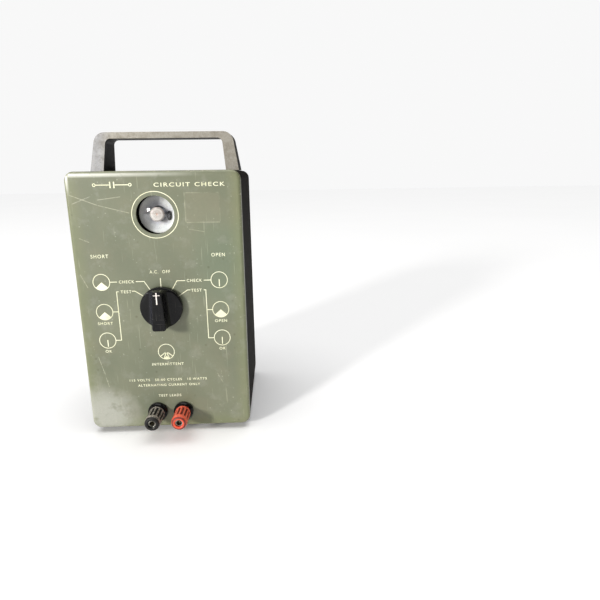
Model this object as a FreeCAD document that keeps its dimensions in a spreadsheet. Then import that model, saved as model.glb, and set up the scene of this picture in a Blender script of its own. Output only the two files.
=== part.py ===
import FreeCAD, Part
import math
import os

import Sketcher
from FreeCAD import Placement, Rotation, Vector

# Bench capacitor tester in a small upright steel cabinet: a rolled-edge front panel with an
# electron-ray indicator tube, a bar knob on a rotary switch and two binding posts, a dark
# wrap-round cabinet with a cast carrying handle, and the chassis and parts inside it.
# Millimetres.  +X is right, -Y is the front, +Z is up.  The origin is the middle of the base
# of the whole object's box.  "Depth" is measured back from the panel's front face and
# "height" is measured up from the panel's bottom edge.

document = FreeCAD.newDocument("capacitor_tester")
sheet = document.addObject("Spreadsheet::Sheet", "Dims")
sheet_rows = []
nodes = []


# ---------------------------------------------------------------- sizes and formulas

class Size:
    """A number together with the sheet formula that gives it."""

    def __init__(self, value, formula=None):
        self.value = float(value)
        self.formula = formula or repr(self.value)

    def __add__(self, other):
        other = as_size(other)
        return Size(self.value + other.value, f"({self.formula} + {other.formula})")

    def __sub__(self, other):
        other = as_size(other)
        return Size(self.value - other.value, f"({self.formula} - {other.formula})")

    def __mul__(self, other):
        other = as_size(other)
        return Size(self.value * other.value, f"({self.formula} * {other.formula})")

    def __truediv__(self, other):
        other = as_size(other)
        return Size(self.value / other.value, f"({self.formula} / {other.formula})")

    def __neg__(self):
        return Size(-self.value, f"(0 - {self.formula})")

    def __rsub__(self, other):
        return as_size(other) - self

    __radd__ = __add__
    __rmul__ = __mul__


def as_size(number):
    if isinstance(number, Size):
        return number
    if number < 0:
        return Size(number, f"(0 - {-number!r})")
    return Size(number)


def driving(alias, value):
    """Write one driving dimension into the sheet and return it as a Size."""
    sheet_rows.append(alias)
    row = len(sheet_rows)
    sheet.set(f"A{row}", alias)
    sheet.set(f"B{row}", str(value))
    sheet.setAlias(f"B{row}", alias)
    return Size(value, f"Dims.{alias}")


# Cabinet and panel.
panel_width = driving("panel_width", 117.5)
panel_height = driving("panel_height", 187.3)
cabinet_depth = driving("cabinet_depth", 114.3)
panel_corner = driving("panel_corner", 6.35)
panel_gauge = driving("panel_gauge", 1.2)
panel_roll = driving("panel_roll", 2.4)
panel_flange = driving("panel_flange", 6.5)
seam_gap = driving("seam_gap", 0.3)
cabinet_gauge = driving("cabinet_gauge", 1.0)
cabinet_rear_radius = driving("cabinet_rear_radius", 4.0)
lip_clearance = driving("lip_clearance", 0.15)
lip_reach = driving("lip_reach", 4.0)
vent_width = driving("vent_width", 3.2)
vent_length = driving("vent_length", 32.0)
vent_pitch = driving("vent_pitch", 8.0)
vent_drop = driving("vent_drop", 59.3)
vent_count = driving("vent_count", 6)

# Rubber feet.
foot_height = driving("foot_height", 4.0)
foot_radius = driving("foot_radius", 6.5)
foot_stem_radius = driving("foot_stem_radius", 2.2)
foot_stem_grip = driving("foot_stem_grip", 2.5)
foot_rounding = driving("foot_rounding", 1.2)
foot_side_inset = driving("foot_side_inset", 13.0)
foot_end_inset = driving("foot_end_inset", 21.0)

# Carrying handle.
handle_rise = driving("handle_rise", 28.4)
handle_base_width = driving("handle_base_width", 110.2)
handle_top_width = driving("handle_top_width", 101.0)
handle_leg_base = driving("handle_leg_base", 9.7)
handle_leg_top = driving("handle_leg_top", 7.5)
handle_bar_thickness = driving("handle_bar_thickness", 4.6)
handle_base_depth = driving("handle_base_depth", 29.0)
handle_top_depth = driving("handle_top_depth", 20.0)
handle_outer_radius = driving("handle_outer_radius", 8.0)
handle_inner_radius = driving("handle_inner_radius", 4.0)
handle_edge_radius = driving("handle_edge_radius", 0.7)
handle_thread_depth = driving("handle_thread_depth", 14.0)
handle_washer_radius = driving("handle_washer_radius", 4.0)

# Fasteners and fits.
small_screw_radius = driving("small_screw_radius", 1.5)
large_screw_radius = driving("large_screw_radius", 2.0)
small_head_radius = driving("small_head_radius", 2.7)
small_head_height = driving("small_head_height", 1.6)
large_head_radius = driving("large_head_radius", 3.8)
large_head_height = driving("large_head_height", 2.2)
rear_head_radius = driving("rear_head_radius", 3.2)
screw_slot_half = driving("screw_slot_half", 0.4)
screw_tip = driving("screw_tip", 0.4)
screw_clearance = driving("screw_clearance", 0.2)
thread_fit = driving("thread_fit", 0.05)
slip_gap = driving("slip_gap", 0.05)
moving_gap = driving("moving_gap", 0.4)
cord_hole_radius = driving("cord_hole_radius", 3.4)
cord_hole_height = driving("cord_hole_height", 24.0)
cord_hole_offset = driving("cord_hole_offset", 38.0)

# Electron-ray tube.
eye_drop = driving("eye_drop", 29.3)
eye_hole_radius = driving("eye_hole_radius", 13.0)
bulb_radius = driving("bulb_radius", 14.3)
bulb_wall = driving("bulb_wall", 0.9)
bulb_front_depth = driving("bulb_front_depth", 0.5)
bulb_length = driving("bulb_length", 55.0)
bulb_dome_sag = driving("bulb_dome_sag", 5.6)
bulb_shoulder = driving("bulb_shoulder", 3.0)
bulb_neck_step = driving("bulb_neck_step", 1.6)
bulb_neck_length = driving("bulb_neck_length", 10.0)
bulb_neck_taper = driving("bulb_neck_taper", 2.0)
eye_dish_radius = driving("eye_dish_radius", 12.2)
eye_dish_neck = driving("eye_dish_neck", 5.6)
eye_dish_front = driving("eye_dish_front", 7.4)
eye_dish_drop = driving("eye_dish_drop", 5.2)
eye_dish_wall = driving("eye_dish_wall", 0.5)
eye_dish_rim = driving("eye_dish_rim", 2.5)
eye_cap_radius = driving("eye_cap_radius", 5.0)
eye_cap_proud = driving("eye_cap_proud", 2.2)
cathode_radius = driving("cathode_radius", 0.9)
triode_gap = driving("triode_gap", 3.0)
triode_radius = driving("triode_radius", 5.2)
triode_length = driving("triode_length", 22.0)
tube_base_length = driving("tube_base_length", 14.0)
tube_base_wall = driving("tube_base_wall", 1.3)
pin_circle = driving("pin_circle", 8.7)
pin_radius = driving("pin_radius", 1.2)
pin_length = driving("pin_length", 10.0)
pin_count = 8

# Rotary switch and knob.
shaft_height = driving("shaft_height", 93.65)
shaft_radius = driving("shaft_radius", 3.17)
shaft_end_depth = driving("shaft_end_depth", 27.5)
shaft_flat = driving("shaft_flat", 0.8)
bushing_radius = driving("bushing_radius", 4.75)
bushing_reach = driving("bushing_reach", 3.4)
nut_across = driving("nut_across", 12.7)
nut_thickness = driving("nut_thickness", 2.4)
washer_thickness = driving("washer_thickness", 0.7)
lockwasher_radius = driving("lockwasher_radius", 7.4)
frame_thickness = driving("frame_thickness", 1.4)
frame_width = driving("frame_width", 42.0)
frame_height = driving("frame_height", 28.0)
wafer_depth = driving("wafer_depth", 22.0)
wafer_thickness = driving("wafer_thickness", 1.6)
wafer_height = driving("wafer_height", 30.0)
clip_width = driving("clip_width", 1.8)
clip_thickness = driving("clip_thickness", 0.5)
clip_length = driving("clip_length", 4.8)
clip_gap = driving("clip_gap", 1.2)
rotor_radius = driving("rotor_radius", 7.8)
tie_spacing = driving("tie_spacing", 35.0)
notch_radius = driving("notch_radius", 1.5)
notch_reach = driving("notch_reach", 0.6)
notch_count = 12
strap_gap = driving("detent_strap_gap", 1.2)
strap_gauge = driving("detent_strap_gauge", 0.6)
strap_width = driving("detent_strap_width", 2.4)
ball_radius = driving("detent_ball_radius", 1.0)
knob_height = driving("knob_height", 16.0)
knob_floor_gap = driving("knob_floor_gap", 0.9)
knob_skirt_radius = driving("knob_skirt_radius", 14.8)
knob_skirt_height = driving("knob_skirt_height", 4.4)
knob_recess_radius = driving("knob_recess_radius", 9.0)
knob_recess_depth = driving("knob_recess_depth", 4.0)
knob_bar_half = driving("knob_bar_half", 13.5)
knob_point_width = driving("knob_point_width", 5.7)
knob_tail_width = driving("knob_tail_width", 9.0)
knob_bar_spread = driving("knob_bar_spread", 2.2)
knob_crown_wall = driving("knob_crown_wall", 2.2)
knob_rim = driving("knob_rim", 0.4)
knob_shoulder = driving("knob_shoulder", 1.2)
bar_tail_corner = driving("bar_tail_corner", 1.5)
bar_point_corner = driving("bar_point_corner", 0.8)
set_screw_length = driving("set_screw_length", 6.0)

# Binding posts.
post_spacing = driving("post_spacing", 19.05)
post_height = driving("post_height", 12.7)
post_reach = driving("post_reach", 21.5)
post_base_radius = driving("post_base_radius", 7.15)
post_base_thickness = driving("post_base_thickness", 3.0)
post_cap_radius = driving("post_cap_radius", 5.6)
post_stud_radius = driving("post_stud_radius", 3.0)
post_tail_radius = driving("post_tail_radius", 2.3)
post_tail_length = driving("post_tail_length", 15.0)
banana_radius = driving("banana_radius", 2.05)
banana_depth = driving("banana_depth", 13.0)
cap_mouth_radius = driving("cap_mouth_radius", 2.6)
cap_mouth_wall = driving("cap_mouth_wall", 1.1)
clamp_washer_thickness = driving("clamp_washer_thickness", 0.7)
clamp_washer_radius = driving("clamp_washer_radius", 5.3)
post_chamfer = driving("post_chamfer", 0.8)
post_edge = driving("post_edge", 0.3)
cap_nose = driving("cap_nose", 1.6)
cap_nose_inset = driving("cap_nose_inset", 1.2)
wire_hole_radius = driving("wire_hole_radius", 1.0)
wire_hole_offset = driving("wire_hole_offset", 2.4)
flute_count = driving("flute_count", 12)
flute_radius = driving("flute_radius", 0.85)
flute_back_margin = driving("flute_back_margin", 2.2)
flute_front_margin = driving("flute_front_margin", 4.2)
insulator_radius = driving("insulator_radius", 6.4)
insulator_thickness = driving("insulator_thickness", 2.0)
post_nut_across = driving("post_nut_across", 8.0)
lug_radius = driving("lug_radius", 4.2)
lug_gauge = driving("lug_gauge", 0.6)
lug_tail_half = driving("lug_tail_half", 1.6)
lug_tail_length = driving("lug_tail_length", 14.0)
lug_eye_radius = driving("lug_eye_radius", 0.8)

# Chassis and the parts on it.
chassis_gauge = driving("chassis_gauge", 1.0)
chassis_width = driving("chassis_width", 100.0)
shelf_height = driving("shelf_height", 60.0)
chassis_front_margin = driving("chassis_front_margin", 22.0)
chassis_rear_rise = driving("chassis_rear_rise", 20.0)
bracket_depth = driving("bracket_depth", 69.0)
bracket_width = driving("bracket_width", 38.0)
transformer_width = driving("transformer_width", 40.0)
transformer_height = driving("transformer_height", 35.0)
transformer_stack = driving("transformer_stack", 18.0)
transformer_offset = driving("transformer_offset", 22.0)
transformer_back_gap = driving("transformer_back_gap", 24.3)
coil_overhang = driving("coil_overhang", 6.0)
coil_gap = driving("coil_gap", 0.1)
strap_inset = driving("transformer_strap_inset", 3.0)
strap_toe = driving("transformer_strap_toe", 7.0)
filter_back_gap = driving("filter_back_gap", 28.3)
filter_radius = driving("filter_radius", 12.5)
filter_length = driving("filter_length", 50.0)
miniature_radius = driving("miniature_radius", 9.5)
miniature_length = driving("miniature_length", 46.0)
side_part_offset = driving("side_part_offset", 38.0)
side_part_depth = driving("side_part_depth", 31.0)

# Wires, the parts under the shelf and other small hardware.
wire_radius = driving("wire_radius", 0.8)
rectifier_offset = driving("rectifier_offset", 32.0)
rectifier_back_gap = driving("rectifier_back_gap", 30.3)
rectifier_stack = driving("rectifier_stack", 20.2)
plate_half = driving("plate_half", 12.5)
plate_gauge = driving("plate_gauge", 0.8)
plate_pitch = driving("plate_pitch", 3.6)
plate_count = 5
stack_tube_radius = driving("stack_tube_radius", 3.6)
strip_screw_x = driving("strip_half_spacing", 26.0)
strip_depth = driving("strip_depth", 44.0)
strip_gauge = driving("strip_gauge", 1.6)
strip_ear_half = driving("strip_ear_half", 4.0)
strip_board_height = driving("strip_board_height", 10.0)
strip_lug_half = driving("strip_lug_half", 1.2)
strip_lug_gauge = driving("strip_lug_gauge", 0.4)
strip_pitch = driving("strip_pitch", 8.0)
lead_radius = driving("lead_radius", 0.4)
resistor_radius = driving("resistor_radius", 1.9)
resistor_length = driving("resistor_length", 9.5)
paper_radius = driving("paper_radius", 3.6)
paper_length = driving("paper_length", 18.0)
filter_x = driving("filter_offset", 31.0)
coil_form_radius = driving("coil_form_radius", 6.0)
coil_form_length = driving("coil_form_length", 32.0)
coil_foot_radius = driving("coil_foot_radius", 8.5)
coil_foot_height = driving("coil_foot_height", 1.6)
winding_build = driving("winding_build", 2.4)
wheel_radius = driving("wheel_radius", 9.5)
wheel_thickness = driving("wheel_thickness", 1.6)
socket_radius = driving("socket_radius", 13.2)
socket_length = driving("socket_length", 12.5)
socket_flange = driving("socket_flange", 1.6)
socket_flange_width = driving("socket_flange_width", 3.0)
bracket_foot = driving("bracket_foot", 10.0)
bracket_screw_x = driving("bracket_half_spacing", 13.0)
post_nut_thickness = driving("post_nut_thickness", 2.6)
handle_screw_inset = driving("handle_screw_inset", 6.85)
grommet_wall = driving("grommet_wall", 2.4)
grommet_flange = driving("grommet_flange", 2.2)
grommet_inner_flange = driving("grommet_inner_flange", 1.8)
grommet_edge = driving("grommet_edge", 0.6)
clip_gauge = driving("capacitor_clip_gauge", 0.6)
clip_low = driving("capacitor_clip_low", 4.0)
clip_high = driving("capacitor_clip_high", 12.0)
clip_half = driving("capacitor_clip_half", 3.0)
clip_toe = driving("capacitor_clip_toe", 6.0)

# The whole box runs from the binding posts' fronts to the heads on the back.
rear_proud = driving("rear_proud", 1.8)
face_y = (post_reach - cabinet_depth - rear_proud) / 2
half_width = panel_width / 2
half_posts = post_spacing / 2
cabinet_mid_depth = cabinet_depth / 2
back_inner_depth = cabinet_depth - cabinet_gauge
shelf_underside = shelf_height - chassis_gauge

# Places that several pieces share.
eye_height = panel_height - eye_drop
vent_height = panel_height - vent_drop
foot_x = half_width - foot_side_inset
handle_screw_x = handle_base_width / 2 - handle_screw_inset
grommet_neck_radius = cord_hole_radius + grommet_wall
rear_screw_offset = chassis_width / 2 - 6
rear_screw_height = shelf_height + 12
post_insulator_radius = post_tail_radius + 1.6
plate_depth = panel_gauge + chassis_gauge + washer_thickness
set_screw_reach = knob_recess_depth + 4.6
transformer_depth = cabinet_depth - transformer_back_gap
transformer_screw_x = transformer_width / 2 + chassis_gauge + 3.6
filter_depth = cabinet_depth - filter_back_gap
rectifier_x = -rectifier_offset
rectifier_depth = cabinet_depth - rectifier_back_gap


# ---------------------------------------------------------------- drawing helpers

def bind(item, prop, size):
    item.setExpression(prop, as_size(size).formula)


def put(item, x, depth, height):
    """Place a piece at a depth behind the panel face and a height above its bottom edge."""
    x = as_size(x)
    y = face_y + depth
    z = foot_height + height
    item.Placement = Placement(Vector(x.value, y.value, z.value), item.Placement.Rotation)
    bind(item, "Placement.Base.x", x)
    bind(item, "Placement.Base.y", y)
    bind(item, "Placement.Base.z", z)
    return item


def node(item, label):
    """Name a finished piece, which is what gets written out."""
    item.Label = label
    nodes.append(item)
    return item


def new_body(name):
    return document.addObject("PartDesign::Body", name)


def origin_part(body, role):
    """One of the body's own planes or axes, by its role."""
    for feature in body.Origin.OriginFeatures:
        if feature.Role == role:
            return feature
    raise RuntimeError("no origin part " + role)


def sketch_on(body, role, rise=None):
    """A sketch on one of the body's own planes, lifted along the plane's normal by rise."""
    sketch = body.newObject("Sketcher::SketchObject", body.Name + "_sketch")
    sketch.AttachmentSupport = (origin_part(body, role), [""])
    sketch.MapMode = "FlatFace"
    if rise is not None:
        bind(sketch, "AttachmentOffset.Base.z", rise)
    return sketch


def fix_point(sketch, curve, point, x, y):
    """Hold one point of a curve at x, y, each given by a formula."""
    constraint = Sketcher.Constraint
    for axis_curve, kind, size in ((-2, "DistanceX", as_size(x)), (-1, "DistanceY", as_size(y))):
        if size.value == 0:
            sketch.addConstraint(constraint("PointOnObject", curve, point, axis_curve))
        else:
            index = sketch.addConstraint(constraint(kind, -1, 1, curve, point, size.value))
            name = f"{kind}_{curve}_{point}"
            sketch.renameConstraint(index, name)
            bind(sketch, "Constraints." + name, size)


def fix_radius(sketch, curve, radius):
    radius = as_size(radius)
    index = sketch.addConstraint(Sketcher.Constraint("Radius", curve, radius.value))
    name = f"Radius_{curve}"
    sketch.renameConstraint(index, name)
    bind(sketch, "Constraints." + name, radius)


def draw_polygon(sketch, points):
    """A closed run of straight lines through points, each held by its formulas."""
    first = sketch.GeometryCount
    count = len(points)
    corners = [Vector(as_size(x).value, as_size(y).value, 0) for x, y in points]
    for index in range(count):
        sketch.addGeometry(Part.LineSegment(corners[index], corners[(index + 1) % count]), False)
    for index in range(count):
        following = first + (index + 1) % count
        sketch.addConstraint(Sketcher.Constraint("Coincident", first + index, 2, following, 1))
    for index in range(count):
        x, y = points[index]
        fix_point(sketch, first + index, 1, x, y)


def draw_circle(sketch, x, y, radius):
    centre = Vector(as_size(x).value, as_size(y).value, 0)
    circle = Part.Circle(centre, Vector(0, 0, 1), as_size(radius).value)
    curve = sketch.addGeometry(circle, False)
    fix_point(sketch, curve, 3, x, y)
    fix_radius(sketch, curve, radius)


def draw_rounded_box(sketch, left, right, bottom, top, radius):
    """A rectangle whose four corners are arcs of one radius."""
    # Each side runs between the ends of its two corner arcs, anticlockwise from the bottom.
    sides = (((left + radius, bottom), (right - radius, bottom)),
             ((right, bottom + radius), (right, top - radius)),
             ((right - radius, top), (left + radius, top)),
             ((left, top - radius), (left, bottom + radius)))
    centres = ((right - radius, bottom + radius), (right - radius, top - radius),
               (left + radius, top - radius), (left + radius, bottom + radius))
    curves = []
    for start, end in sides:
        points = [Vector(as_size(x).value, as_size(y).value, 0) for x, y in (start, end)]
        curve = sketch.addGeometry(Part.LineSegment(points[0], points[1]), False)
        fix_point(sketch, curve, 1, start[0], start[1])
        fix_point(sketch, curve, 2, end[0], end[1])
        curves.append(curve)
    for index, (x, y) in enumerate(centres):
        centre = Vector(as_size(x).value, as_size(y).value, 0)
        start_angle = math.radians(90 * index - 90)
        circle = Part.Circle(centre, Vector(0, 0, 1), as_size(radius).value)
        arc = Part.ArcOfCircle(circle, start_angle, start_angle + math.pi / 2)
        curve = sketch.addGeometry(arc, False)
        sketch.addConstraint(Sketcher.Constraint("Coincident", curves[index], 2, curve, 1))
        sketch.addConstraint(Sketcher.Constraint("Coincident", curve, 2, curves[(index + 1) % 4], 1))
        fix_radius(sketch, curve, radius)


def grow(body, kind, sketch, length, reverse=False):
    """Pad or pocket a sketch, and see that the solid changed the right way."""
    before = body.Shape.Volume if body.Tip else 0.0
    feature = body.newObject("PartDesign::" + kind, body.Name + "_" + kind.lower())
    feature.Profile = sketch
    feature.Reversed = reverse
    bind(feature, "Length", length)
    document.recompute()
    added = body.Shape.Volume - before
    if kind == "Pad" and added <= 0 or kind == "Pocket" and added >= 0:
        raise RuntimeError(f"{feature.Name} changed the volume by {added}")
    return feature


def pad_back(body, sketch, length):
    """Pad a sketch on the XZ plane towards the back of the tester."""
    return grow(body, "Pad", sketch, length, True)


def pocket_back(body, sketch, length):
    """Pocket a sketch on the XZ plane towards the back of the tester."""
    return grow(body, "Pocket", sketch, length)


def round_edges(body, chosen, radius, kind="Fillet"):
    """Fillet or chamfer the edges of the body that the test picks out."""
    document.recompute()
    base = body.Tip
    names = [f"Edge{index + 1}" for index, edge in enumerate(base.Shape.Edges) if chosen(edge)]
    if not names:
        raise RuntimeError("no edge to round on " + body.Name)
    feature = body.newObject("PartDesign::" + kind, body.Name + "_" + kind.lower())
    feature.Base = (base, names)
    bind(feature, "Radius" if kind == "Fillet" else "Size", radius)
    document.recompute()
    return feature


def lies_at(edge, axis, size):
    """True where the whole edge lies in the plane at size along the axis."""
    box = edge.BoundBox
    low = getattr(box, axis + "Min")
    high = getattr(box, axis + "Max")
    return abs(low - size.value) < 0.01 and abs(high - size.value) < 0.01


def turned(name, axis, profile):
    """A body turned about an axis: profile points are (radius, distance along the axis)."""
    body = new_body(name)
    role = "XZ_Plane" if axis == "Z" else "XY_Plane"
    sketch = sketch_on(body, role)
    draw_polygon(sketch, profile)
    feature = body.newObject("PartDesign::Revolution", name + "_turn")
    feature.Profile = sketch
    feature.ReferenceAxis = (sketch, ["V_Axis"])
    feature.Angle = 360
    document.recompute()
    return body


def ring(name, axis, inner, outer, start, end):
    """A plain washer or tube from start to end along the axis."""
    return turned(name, axis, [(inner, start), (outer, start), (outer, end), (inner, end)])


def block(name, low, high):
    """A box between two corners given as (x, depth, height)."""
    box = document.addObject("Part::Box", name)
    put(box, low[0], low[1], low[2])
    bind(box, "Length", as_size(high[0]) - low[0])
    bind(box, "Width", as_size(high[1]) - low[1])
    bind(box, "Height", as_size(high[2]) - low[2])
    return box


AXIS_TURNS = {
    "Y": Rotation(Vector(1, 0, 0), -90),
    "Z": Rotation(),
}


def rod(name, axis, radius, length, x, depth, height):
    """A solid cylinder that starts at a point and runs along +Y or +Z."""
    cylinder = document.addObject("Part::Cylinder", name)
    cylinder.Placement = Placement(Vector(), AXIS_TURNS[axis])
    bind(cylinder, "Radius", radius)
    bind(cylinder, "Height", length)
    return put(cylinder, x, depth, height)


def hexagon(name, across, length, x, depth, height):
    """A hexagonal prism that runs towards the back."""
    prism = document.addObject("Part::Prism", name)
    prism.Polygon = 6
    prism.Placement = Placement(Vector(), AXIS_TURNS["Y"])
    bind(prism, "Circumradius", across / math.sqrt(3))
    bind(prism, "Height", length)
    return put(prism, x, depth, height)


def fuse(name, shapes):
    union = document.addObject("Part::MultiFuse", name)
    union.Shapes = shapes
    union.Refine = True
    return union


def cut(name, base, tools):
    tool = tools[0] if len(tools) == 1 else fuse(name + "_tools", tools)
    difference = document.addObject("Part::Cut", name)
    difference.Base = base
    difference.Tool = tool
    difference.Refine = True
    return difference


def group(name, shapes):
    """Several separate solids that are one kind of piece."""
    compound = document.addObject("Part::Compound", name)
    compound.Links = shapes
    return compound


def pan_screw(name, axis, radius, head_radius, head_height, length):
    """A pan-head screw with a slot: head below zero, shank from zero to its length."""
    start = -head_height
    profile = [(0, start), (head_radius * 0.75, start), (head_radius, start * 0.45),
               (head_radius, 0), (radius, 0), (radius, length - screw_tip),
               (radius - screw_tip, length), (0, length)]
    body = turned(name, axis, profile)
    slot_plane = "XZ_Plane" if axis == "Y" else "XY_Plane"
    lift = head_height if axis == "Y" else -head_height
    sketch = sketch_on(body, slot_plane, lift)
    slot_half = head_radius * 1.05
    draw_polygon(sketch, [(-slot_half, -screw_slot_half), (slot_half, -screw_slot_half),
                          (slot_half, screw_slot_half), (-slot_half, screw_slot_half)])
    grow(body, "Pocket", sketch, head_height * 0.45, axis == "Z")
    return body


# ---------------------------------------------------------------- cabinet

def front_panel():
    """Steel pan with a rolled edge, open at the back."""
    body = new_body("front_panel")
    outline = sketch_on(body, "XZ_Plane")
    draw_rounded_box(outline, -half_width, half_width, Size(0), panel_height, panel_corner)
    pad_back(body, outline, panel_flange)
    round_edges(body, lambda edge: lies_at(edge, "Y", Size(0)), panel_roll)
    hollow = sketch_on(body, "XZ_Plane", -panel_gauge)
    draw_rounded_box(hollow, panel_gauge - half_width, half_width - panel_gauge, panel_gauge,
                     panel_height - panel_gauge, panel_corner - panel_gauge)
    pocket_back(body, hollow, panel_flange)
    round_edges(body, lambda edge: lies_at(edge, "Y", panel_gauge), panel_roll - panel_gauge)
    holes = sketch_on(body, "XZ_Plane")
    draw_circle(holes, 0, eye_height, eye_hole_radius)
    draw_circle(holes, 0, shaft_height, bushing_radius + screw_clearance)
    for side in (-1, 1):
        draw_circle(holes, half_posts * side, post_height, post_insulator_radius + slip_gap)
    pocket_back(body, holes, panel_gauge * 2)
    return node(put(body, 0, 0, 0), "front_panel")


def cabinet_outline(sketch, inset):
    """The cabinet's cross-section, moved in by inset all round."""
    draw_rounded_box(sketch, inset - half_width, half_width - inset, Size(0) + inset,
                     panel_height - inset, panel_corner - inset)


def cabinet_shell():
    """Wrap-round steel cabinet with a closed back, its front lip inside the panel's flange."""
    body = new_body("cabinet_shell")
    front_edge = panel_flange + seam_gap
    lip_outer = panel_gauge + lip_clearance
    lip_inner = lip_outer + cabinet_gauge
    skin = sketch_on(body, "XZ_Plane", -front_edge)
    cabinet_outline(skin, Size(0))
    pad_back(body, skin, cabinet_depth - front_edge)
    mouth = sketch_on(body, "XZ_Plane", -front_edge)
    cabinet_outline(mouth, lip_inner)
    pocket_back(body, mouth, back_inner_depth - front_edge)
    # Behind the joggle the wall is one gauge thick.
    cavity = sketch_on(body, "XZ_Plane", -(front_edge + cabinet_gauge))
    cabinet_outline(cavity, cabinet_gauge)
    pocket_back(body, cavity, back_inner_depth - front_edge - cabinet_gauge)
    round_edges(body, lambda edge: lies_at(edge, "Y", back_inner_depth),
                cabinet_rear_radius - cabinet_gauge)
    round_edges(body, lambda edge: lies_at(edge, "Y", cabinet_depth), cabinet_rear_radius)
    lip = sketch_on(body, "XZ_Plane", lip_reach - front_edge)
    cabinet_outline(lip, lip_outer)
    cabinet_outline(lip, lip_inner)
    pad_back(body, lip, lip_reach)
    cut_back_holes(body)
    cut_foot_and_handle_holes(body)
    return node(put(body, 0, 0, 0), "cabinet_shell")


def cut_back_holes(body):
    """Vent slots, the cord hole and the two screw holes through the back."""
    holes = sketch_on(body, "XZ_Plane", -(back_inner_depth - 1))
    draw_circle(holes, -cord_hole_offset, cord_hole_height, grommet_neck_radius)
    for side in (-1, 1):
        draw_circle(holes, rear_screw_offset * side, rear_screw_height,
                    small_screw_radius + screw_clearance)
    pocket_back(body, holes, cabinet_gauge + 2)
    slot = sketch_on(body, "XZ_Plane", -(back_inner_depth - 1))
    for side in (-1, 1):
        inner = vent_pitch / 2 * side
        outer = inner + vent_length * side
        left, right = (inner, outer) if side > 0 else (outer, inner)
        draw_rounded_box(slot, left, right, vent_height, vent_height + vent_width,
                         vent_width * 0.45)
    first = pocket_back(body, slot, cabinet_gauge + 2)
    pattern = body.newObject("PartDesign::LinearPattern", "vent_rows")
    pattern.Originals = [first]
    pattern.Direction = (origin_part(body, "Z_Axis"), [""])
    bind(pattern, "Length", vent_pitch * (vent_count - 1))
    bind(pattern, "Occurrences", vent_count)
    body.Tip = pattern
    document.recompute()


def cut_foot_and_handle_holes(body):
    """Stem holes through the floor and screw holes through the roof."""
    floor = sketch_on(body, "XY_Plane", cabinet_gauge * 2)
    for side in (-1, 1):
        for depth in (foot_end_inset, cabinet_depth - foot_end_inset):
            draw_circle(floor, foot_x * side, depth, foot_stem_radius + slip_gap)
    grow(body, "Pocket", floor, cabinet_gauge * 3)
    roof = sketch_on(body, "XY_Plane", panel_height + cabinet_gauge)
    for side in (-1, 1):
        draw_circle(roof, handle_screw_x * side, cabinet_mid_depth,
                    large_screw_radius + screw_clearance)
    grow(body, "Pocket", roof, cabinet_gauge * 3)


def handle():
    """Cast trapezoid handle: splayed legs, a thin bar, deeper at the feet than at the top."""
    body = new_body("handle")
    base = handle_base_width / 2
    top = handle_top_width / 2
    inner_top = handle_rise - handle_bar_thickness
    profile = sketch_on(body, "XZ_Plane", handle_base_depth / 2)
    draw_polygon(profile, [(-base, 0), (handle_leg_base - base, 0),
                           (handle_leg_top - top, inner_top), (top - handle_leg_top, inner_top),
                           (base - handle_leg_base, 0), (base, 0),
                           (top, handle_rise), (-top, handle_rise)])
    pad_back(body, profile, handle_base_depth)
    taper = sketch_on(body, "YZ_Plane", base)
    for side in (-1, 1):
        foot = handle_base_depth / 2 * side
        crown = handle_top_depth / 2 * side
        outside = foot + 2 * side
        draw_polygon(taper, [(foot, 0), (crown, handle_rise), (crown, handle_rise + 1),
                             (outside, handle_rise + 1), (outside, 0)])
    grow(body, "Pocket", taper, handle_base_width)
    upper = handle_rise.value - 0.01
    inner = inner_top.value
    round_edges(body, lambda edge: along_y(edge) and edge.CenterOfMass.z > upper,
                handle_outer_radius)
    round_edges(body, lambda edge: along_y(edge) and abs(edge.CenterOfMass.z - inner) < 0.01,
                handle_inner_radius)
    threads = sketch_on(body, "XY_Plane")
    for side in (-1, 1):
        draw_circle(threads, handle_screw_x * side, 0, large_screw_radius + thread_fit)
    grow(body, "Pocket", threads, handle_thread_depth, True)
    return node(put(body, 0, cabinet_mid_depth, panel_height), "handle")


def along_y(edge):
    """True for a straight edge that runs front to back."""
    box = edge.BoundBox
    return box.XLength < 0.01 and box.ZLength < 0.01 and box.YLength > 1


def handle_fasteners():
    """Two screws up through the roof into the legs, each with a flat washer."""
    screws = []
    washers = []
    roof_inner = panel_height - cabinet_gauge
    for side in (-1, 1):
        screw = pan_screw("handle_screw", "Z", large_screw_radius, large_head_radius,
                          large_head_height,
                          washer_thickness + cabinet_gauge + handle_thread_depth - 1)
        screws.append(put(screw, handle_screw_x * side, cabinet_mid_depth,
                          roof_inner - washer_thickness))
        washer = ring("handle_washer", "Z", large_screw_radius + screw_clearance,
                      handle_washer_radius, 0, washer_thickness)
        washers.append(put(washer, handle_screw_x * side, cabinet_mid_depth,
                           roof_inner - washer_thickness))
    node(group("handle_screws", screws), "handle_screws")
    node(group("handle_washers", washers), "handle_washers")


def rubber_feet():
    """Four domed feet, each with a stem that plugs into the cabinet's floor."""
    feet = []
    stem_top = cabinet_gauge + foot_stem_grip
    for side in (-1, 1):
        for depth in (foot_end_inset, cabinet_depth - foot_end_inset):
            foot = turned("foot", "Z", [
                (0, -foot_height), (foot_radius - foot_rounding, -foot_height),
                (foot_radius - foot_rounding / 4, foot_rounding * 0.75 - foot_height),
                (foot_radius, 0),
                (foot_stem_radius, 0), (foot_stem_radius, stem_top - 0.8),
                (foot_stem_radius - 0.6, stem_top), (0, stem_top)])
            feet.append(put(foot, foot_x * side, depth, 0))
    node(group("rubber_feet", feet), "rubber_feet")


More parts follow.
